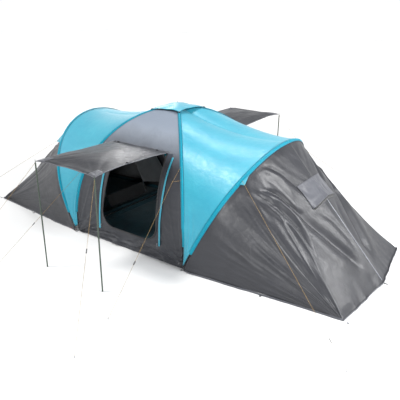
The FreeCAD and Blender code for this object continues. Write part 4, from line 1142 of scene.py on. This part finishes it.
for side, sx in SIDES.items():
    for depth, sy in DEPTHS.items():
        label = f"{depth}_{side}"
        way = unit(np.array(GUY_ROUTES["arch"][-1]) - TAB_START)
        sewn = [ARCH.at(float(ARCH.for_height(z))) + way * 0.020 for z in (1.420, 1.300)]
        corners = [TAB_START + way * 0.075, *sewn]
        t = np.linspace(0.04, 1, 14)[:, None, None]
        v = np.linspace(0, 1, 10)[None, :, None]
        tab_grid = corners[0] + ((corners[1] - corners[0]) * (1 - v) + (corners[2] - corners[0]) * v) * t
        tab_grid = mirrored(tab_grid, sx, sy)
        tab = cloth_piece(f"guy_tab_{label}", tab_grid, BLUE, thickness=0.002)
        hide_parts("guy_tabs")
        bm = bmesh.new()
        bmesh.ops.create_uvsphere(bm, u_segments=14, v_segments=10, radius=0.0048)
        mesh = bpy.data.meshes.new(f"guy_knot_{label}")
        bm.to_mesh(mesh)
        bm.free()
        mesh.polygons.foreach_set("use_smooth", [True] * len(mesh.polygons))
        mesh.materials.append(GUY_CORD)
        ball = bpy.data.objects.new(f"guy_knot_{label}", mesh)
        ball.location = mirrored(KNOT, sx, sy)
        bpy.context.collection.objects.link(ball)
        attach(ball, TENT)
        for number, z in enumerate((1.373, 1.200)):
            on_pole = DOME.at(DOME.for_height(z))
            begin = on_pole + unit(KNOT - on_pole) * 0.016
            path = mirrored(np.linspace(begin, KNOT, 6), sx, sy)
            tube(f"guy_strand_{number}_{label}", path, 0.002, GUY_CORD, sides=6)


# ---------------------------------------------------------------- seams, hems, corner patches, toggles and eyelets
for side, sx in SIDES.items():
    whole = end_grids[side]
    half_rows = (len(whole) + 1) // 2
    middle_row = whole[half_rows - 1]
    below_hood = middle_row[middle_row[:, 2] < VENT_LOW[2] - 0.02]
    # The ridge seam tape is coloured light: seam tape and a painted highlight along the ridge.
    sweep(f"ridge_seam_{side}", below_hood[:-2] + UP * 0.0028, ribbon_section(0.016, 0.0022), SEAM_TAPE_HIGHLIGHT,
          facing=(sx * 0.7, 0, 0.7))
    for depth, half in (("near", whole[:half_rows]), ("far", whole[::-1][:half_rows])):
        hem = np.concatenate([half[0][1:-1], half[:, -1]])
        spaced = [hem[0]]
        for p in hem[1:]:
            if np.linalg.norm(p - spaced[-1]) > 0.02:
                spaced.append(p)
        ground_hem(f"end_hem_{depth}_{side}", np.array(spaced))
        patch = raised(half[:16, -10:], np.full((16, 10), 0.0022), (2.4 * sx, 0, 0.3))
        cloth_piece(f"end_corner_{depth}_{side}", patch, GRAY_PATCH, thickness=0.001)

for depth, sy in DEPTHS.items():
    body = f"awning_{depth}"
    for number, (row, column) in enumerate(((2, 6), (2, 51), (40, 62))):
        p = mirrored(awning_grids[depth][row, column] + UP * 0.006, 1, sy)
        path = np.linspace(p - [0.020, 0, 0], p + [0.020, 0, 0], 5)
        tube(f"awning_toggle_{number}_{depth}", path, 0.0065, BLACK_PLASTIC, body, sides=10)
    for side, sx in SIDES.items():
        p = mirrored(awning_grids[depth][-3, 60 if sx > 0 else 3] + UP * 0.004, 1, sy)
        turn = np.linspace(0, 2 * math.pi, 24, endpoint=False)
        ring = p + np.stack([np.cos(turn) * 0.010, np.sin(turn) * 0.010, 0 * turn], -1)
        tube(f"awning_eyelet_{depth}_{side}", ring, 0.003, STEEL, body, closed=True, sides=6)


# ---------------------------------------------------------------- camera, lights and floor
CAMERA_PLACE = (4.658, -5.975, 3.334)
CAMERA_ANGLES = (-35.28, -21.3, 0.6)  # yaw, pitch and roll in degrees, matched to the photo
CAMERA_LENS = 43.82


def set_camera():
    yaw, pitch, roll = (math.radians(angle) for angle in CAMERA_ANGLES)
    ahead = Vector((math.sin(yaw) * math.cos(pitch), math.cos(yaw) * math.cos(pitch), math.sin(pitch)))
    right = Vector((math.cos(yaw), -math.sin(yaw), 0))
    up = right.cross(ahead)
    rolled_right = right * math.cos(roll) + up * math.sin(roll)
    rolled_up = up * math.cos(roll) - right * math.sin(roll)
    data = bpy.data.cameras.new("camera")
    data.sensor_width = 36.0
    data.lens = CAMERA_LENS
    camera = linked("camera", data)
    turned = Matrix((rolled_right, rolled_up, -ahead)).transposed().to_4x4()
    camera.matrix_world = Matrix.Translation(CAMERA_PLACE) @ turned
    bpy.context.scene.camera = camera


def aimed(place, target):
    return (Vector(target) - Vector(place)).to_track_quat("-Z", "Y")


SUN_PLACE = (-2.2, -1.9, 5.0)
SOFT_LIGHTS = (                   # name, place, target, size in m, power in W
    ("soft_left", (-7, -6, 5), (0, 0, 0.8), 4, 160),
    ("soft_top", (-1.2, 2.2, 7.6), (1.2, -0.5, 1.6), 1.6, 190),
    ("soft_right", (7.2, -0.9, 6.1), (2.3, -0.6, 1.0), 2.6, 600),
    ("soft_low", (7.4, 3.6, 4.0), (2.8, -0.5, 0.6), 2.0, 250),
    ("soft_front", (4.4, -7.2, 1.9), (2.0, -1.0, 1.0), 1.1, 210),
    ("soft_back", (-4.7, 4.2, 4.3), (0.3, -1.5, 1.5), 0.8, 50),
    ("soft_inside", (0.0, 0.1, 1.72), (0, 0, 0), 0.9, 5),
)


def set_lights():
    sun = bpy.data.lights.new("sun", "SUN")
    sun.energy = 2.5
    sun.angle = math.radians(12)
    sun.color = (1.0, 0.985, 0.96)
    linked("sun", sun).rotation_euler = aimed(SUN_PLACE, (0, 0, 0)).to_euler()
    for name, place, target, size, watts in SOFT_LIGHTS:
        area = bpy.data.lights.new(name, "AREA")
        area.size = size
        area.energy = watts
        lamp = linked(name, area)
        lamp.location = place
        lamp.rotation_euler = aimed(place, target).to_euler()
    world = bpy.data.worlds.new("world")
    bpy.context.scene.world = world
    world.use_nodes = True
    tree = world.node_tree
    background = tree.nodes["Background"]
    direction = tree.nodes.new("ShaderNodeTexCoord")
    parts = tree.nodes.new("ShaderNodeSeparateXYZ")
    fall = tree.nodes.new("ShaderNodeMapRange")
    for key, number in (("From Min", 0.10), ("From Max", 0.40), ("To Min", 1.04), ("To Max", 0.46)):
        fall.inputs[key].default_value = number
    tree.links.new(direction.outputs["Generated"], parts.inputs[0])
    tree.links.new(parts.outputs["Z"], fall.inputs["Value"])
    tree.links.new(fall.outputs["Result"], background.inputs["Strength"])
    background.inputs["Color"].default_value = (0.97, 0.985, 1.0, 1)


def set_floor():
    bm = bmesh.new()
    bmesh.ops.create_grid(bm, x_segments=8, y_segments=8, size=60)
    mesh = bpy.data.meshes.new("floor")
    bm.to_mesh(mesh)
    bm.free()
    mesh.materials.append(floor_material())
    floor = linked("floor", mesh)
    floor.location.z = -0.001


bpy.context.scene.view_settings.view_transform = "Standard"
set_camera()
set_lights()
set_floor()


# ---------------------------------------------------------------- the frame's own pieces, with better materials
CAD_MATERIALS = {
    "dome_pole_a": FIBREGLASS, "dome_pole_b": FIBREGLASS, "arch_pole_left": FIBREGLASS,
    "arch_pole_right": FIBREGLASS, "pole_ferrules": STEEL, "foot_pins": STEEL, "ground_pegs": STEEL,
    "foot_straps": RED_WEBBING, "hem_loops": WEBBING, "awning_poles_near": PAINTED_TUBE,
    "awning_poles_far": PAINTED_TUBE, "roof_cap_clips": BLACK_PLASTIC,
}
for name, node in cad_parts.items():
    material = CAD_MATERIALS.get(name)
    if name.startswith("runner_"):
        material = BLACK_PLASTIC
    if name.startswith("zip_slider_"):
        material = STEEL
    if material:
        node.data.materials.clear()
        node.data.materials.append(material)
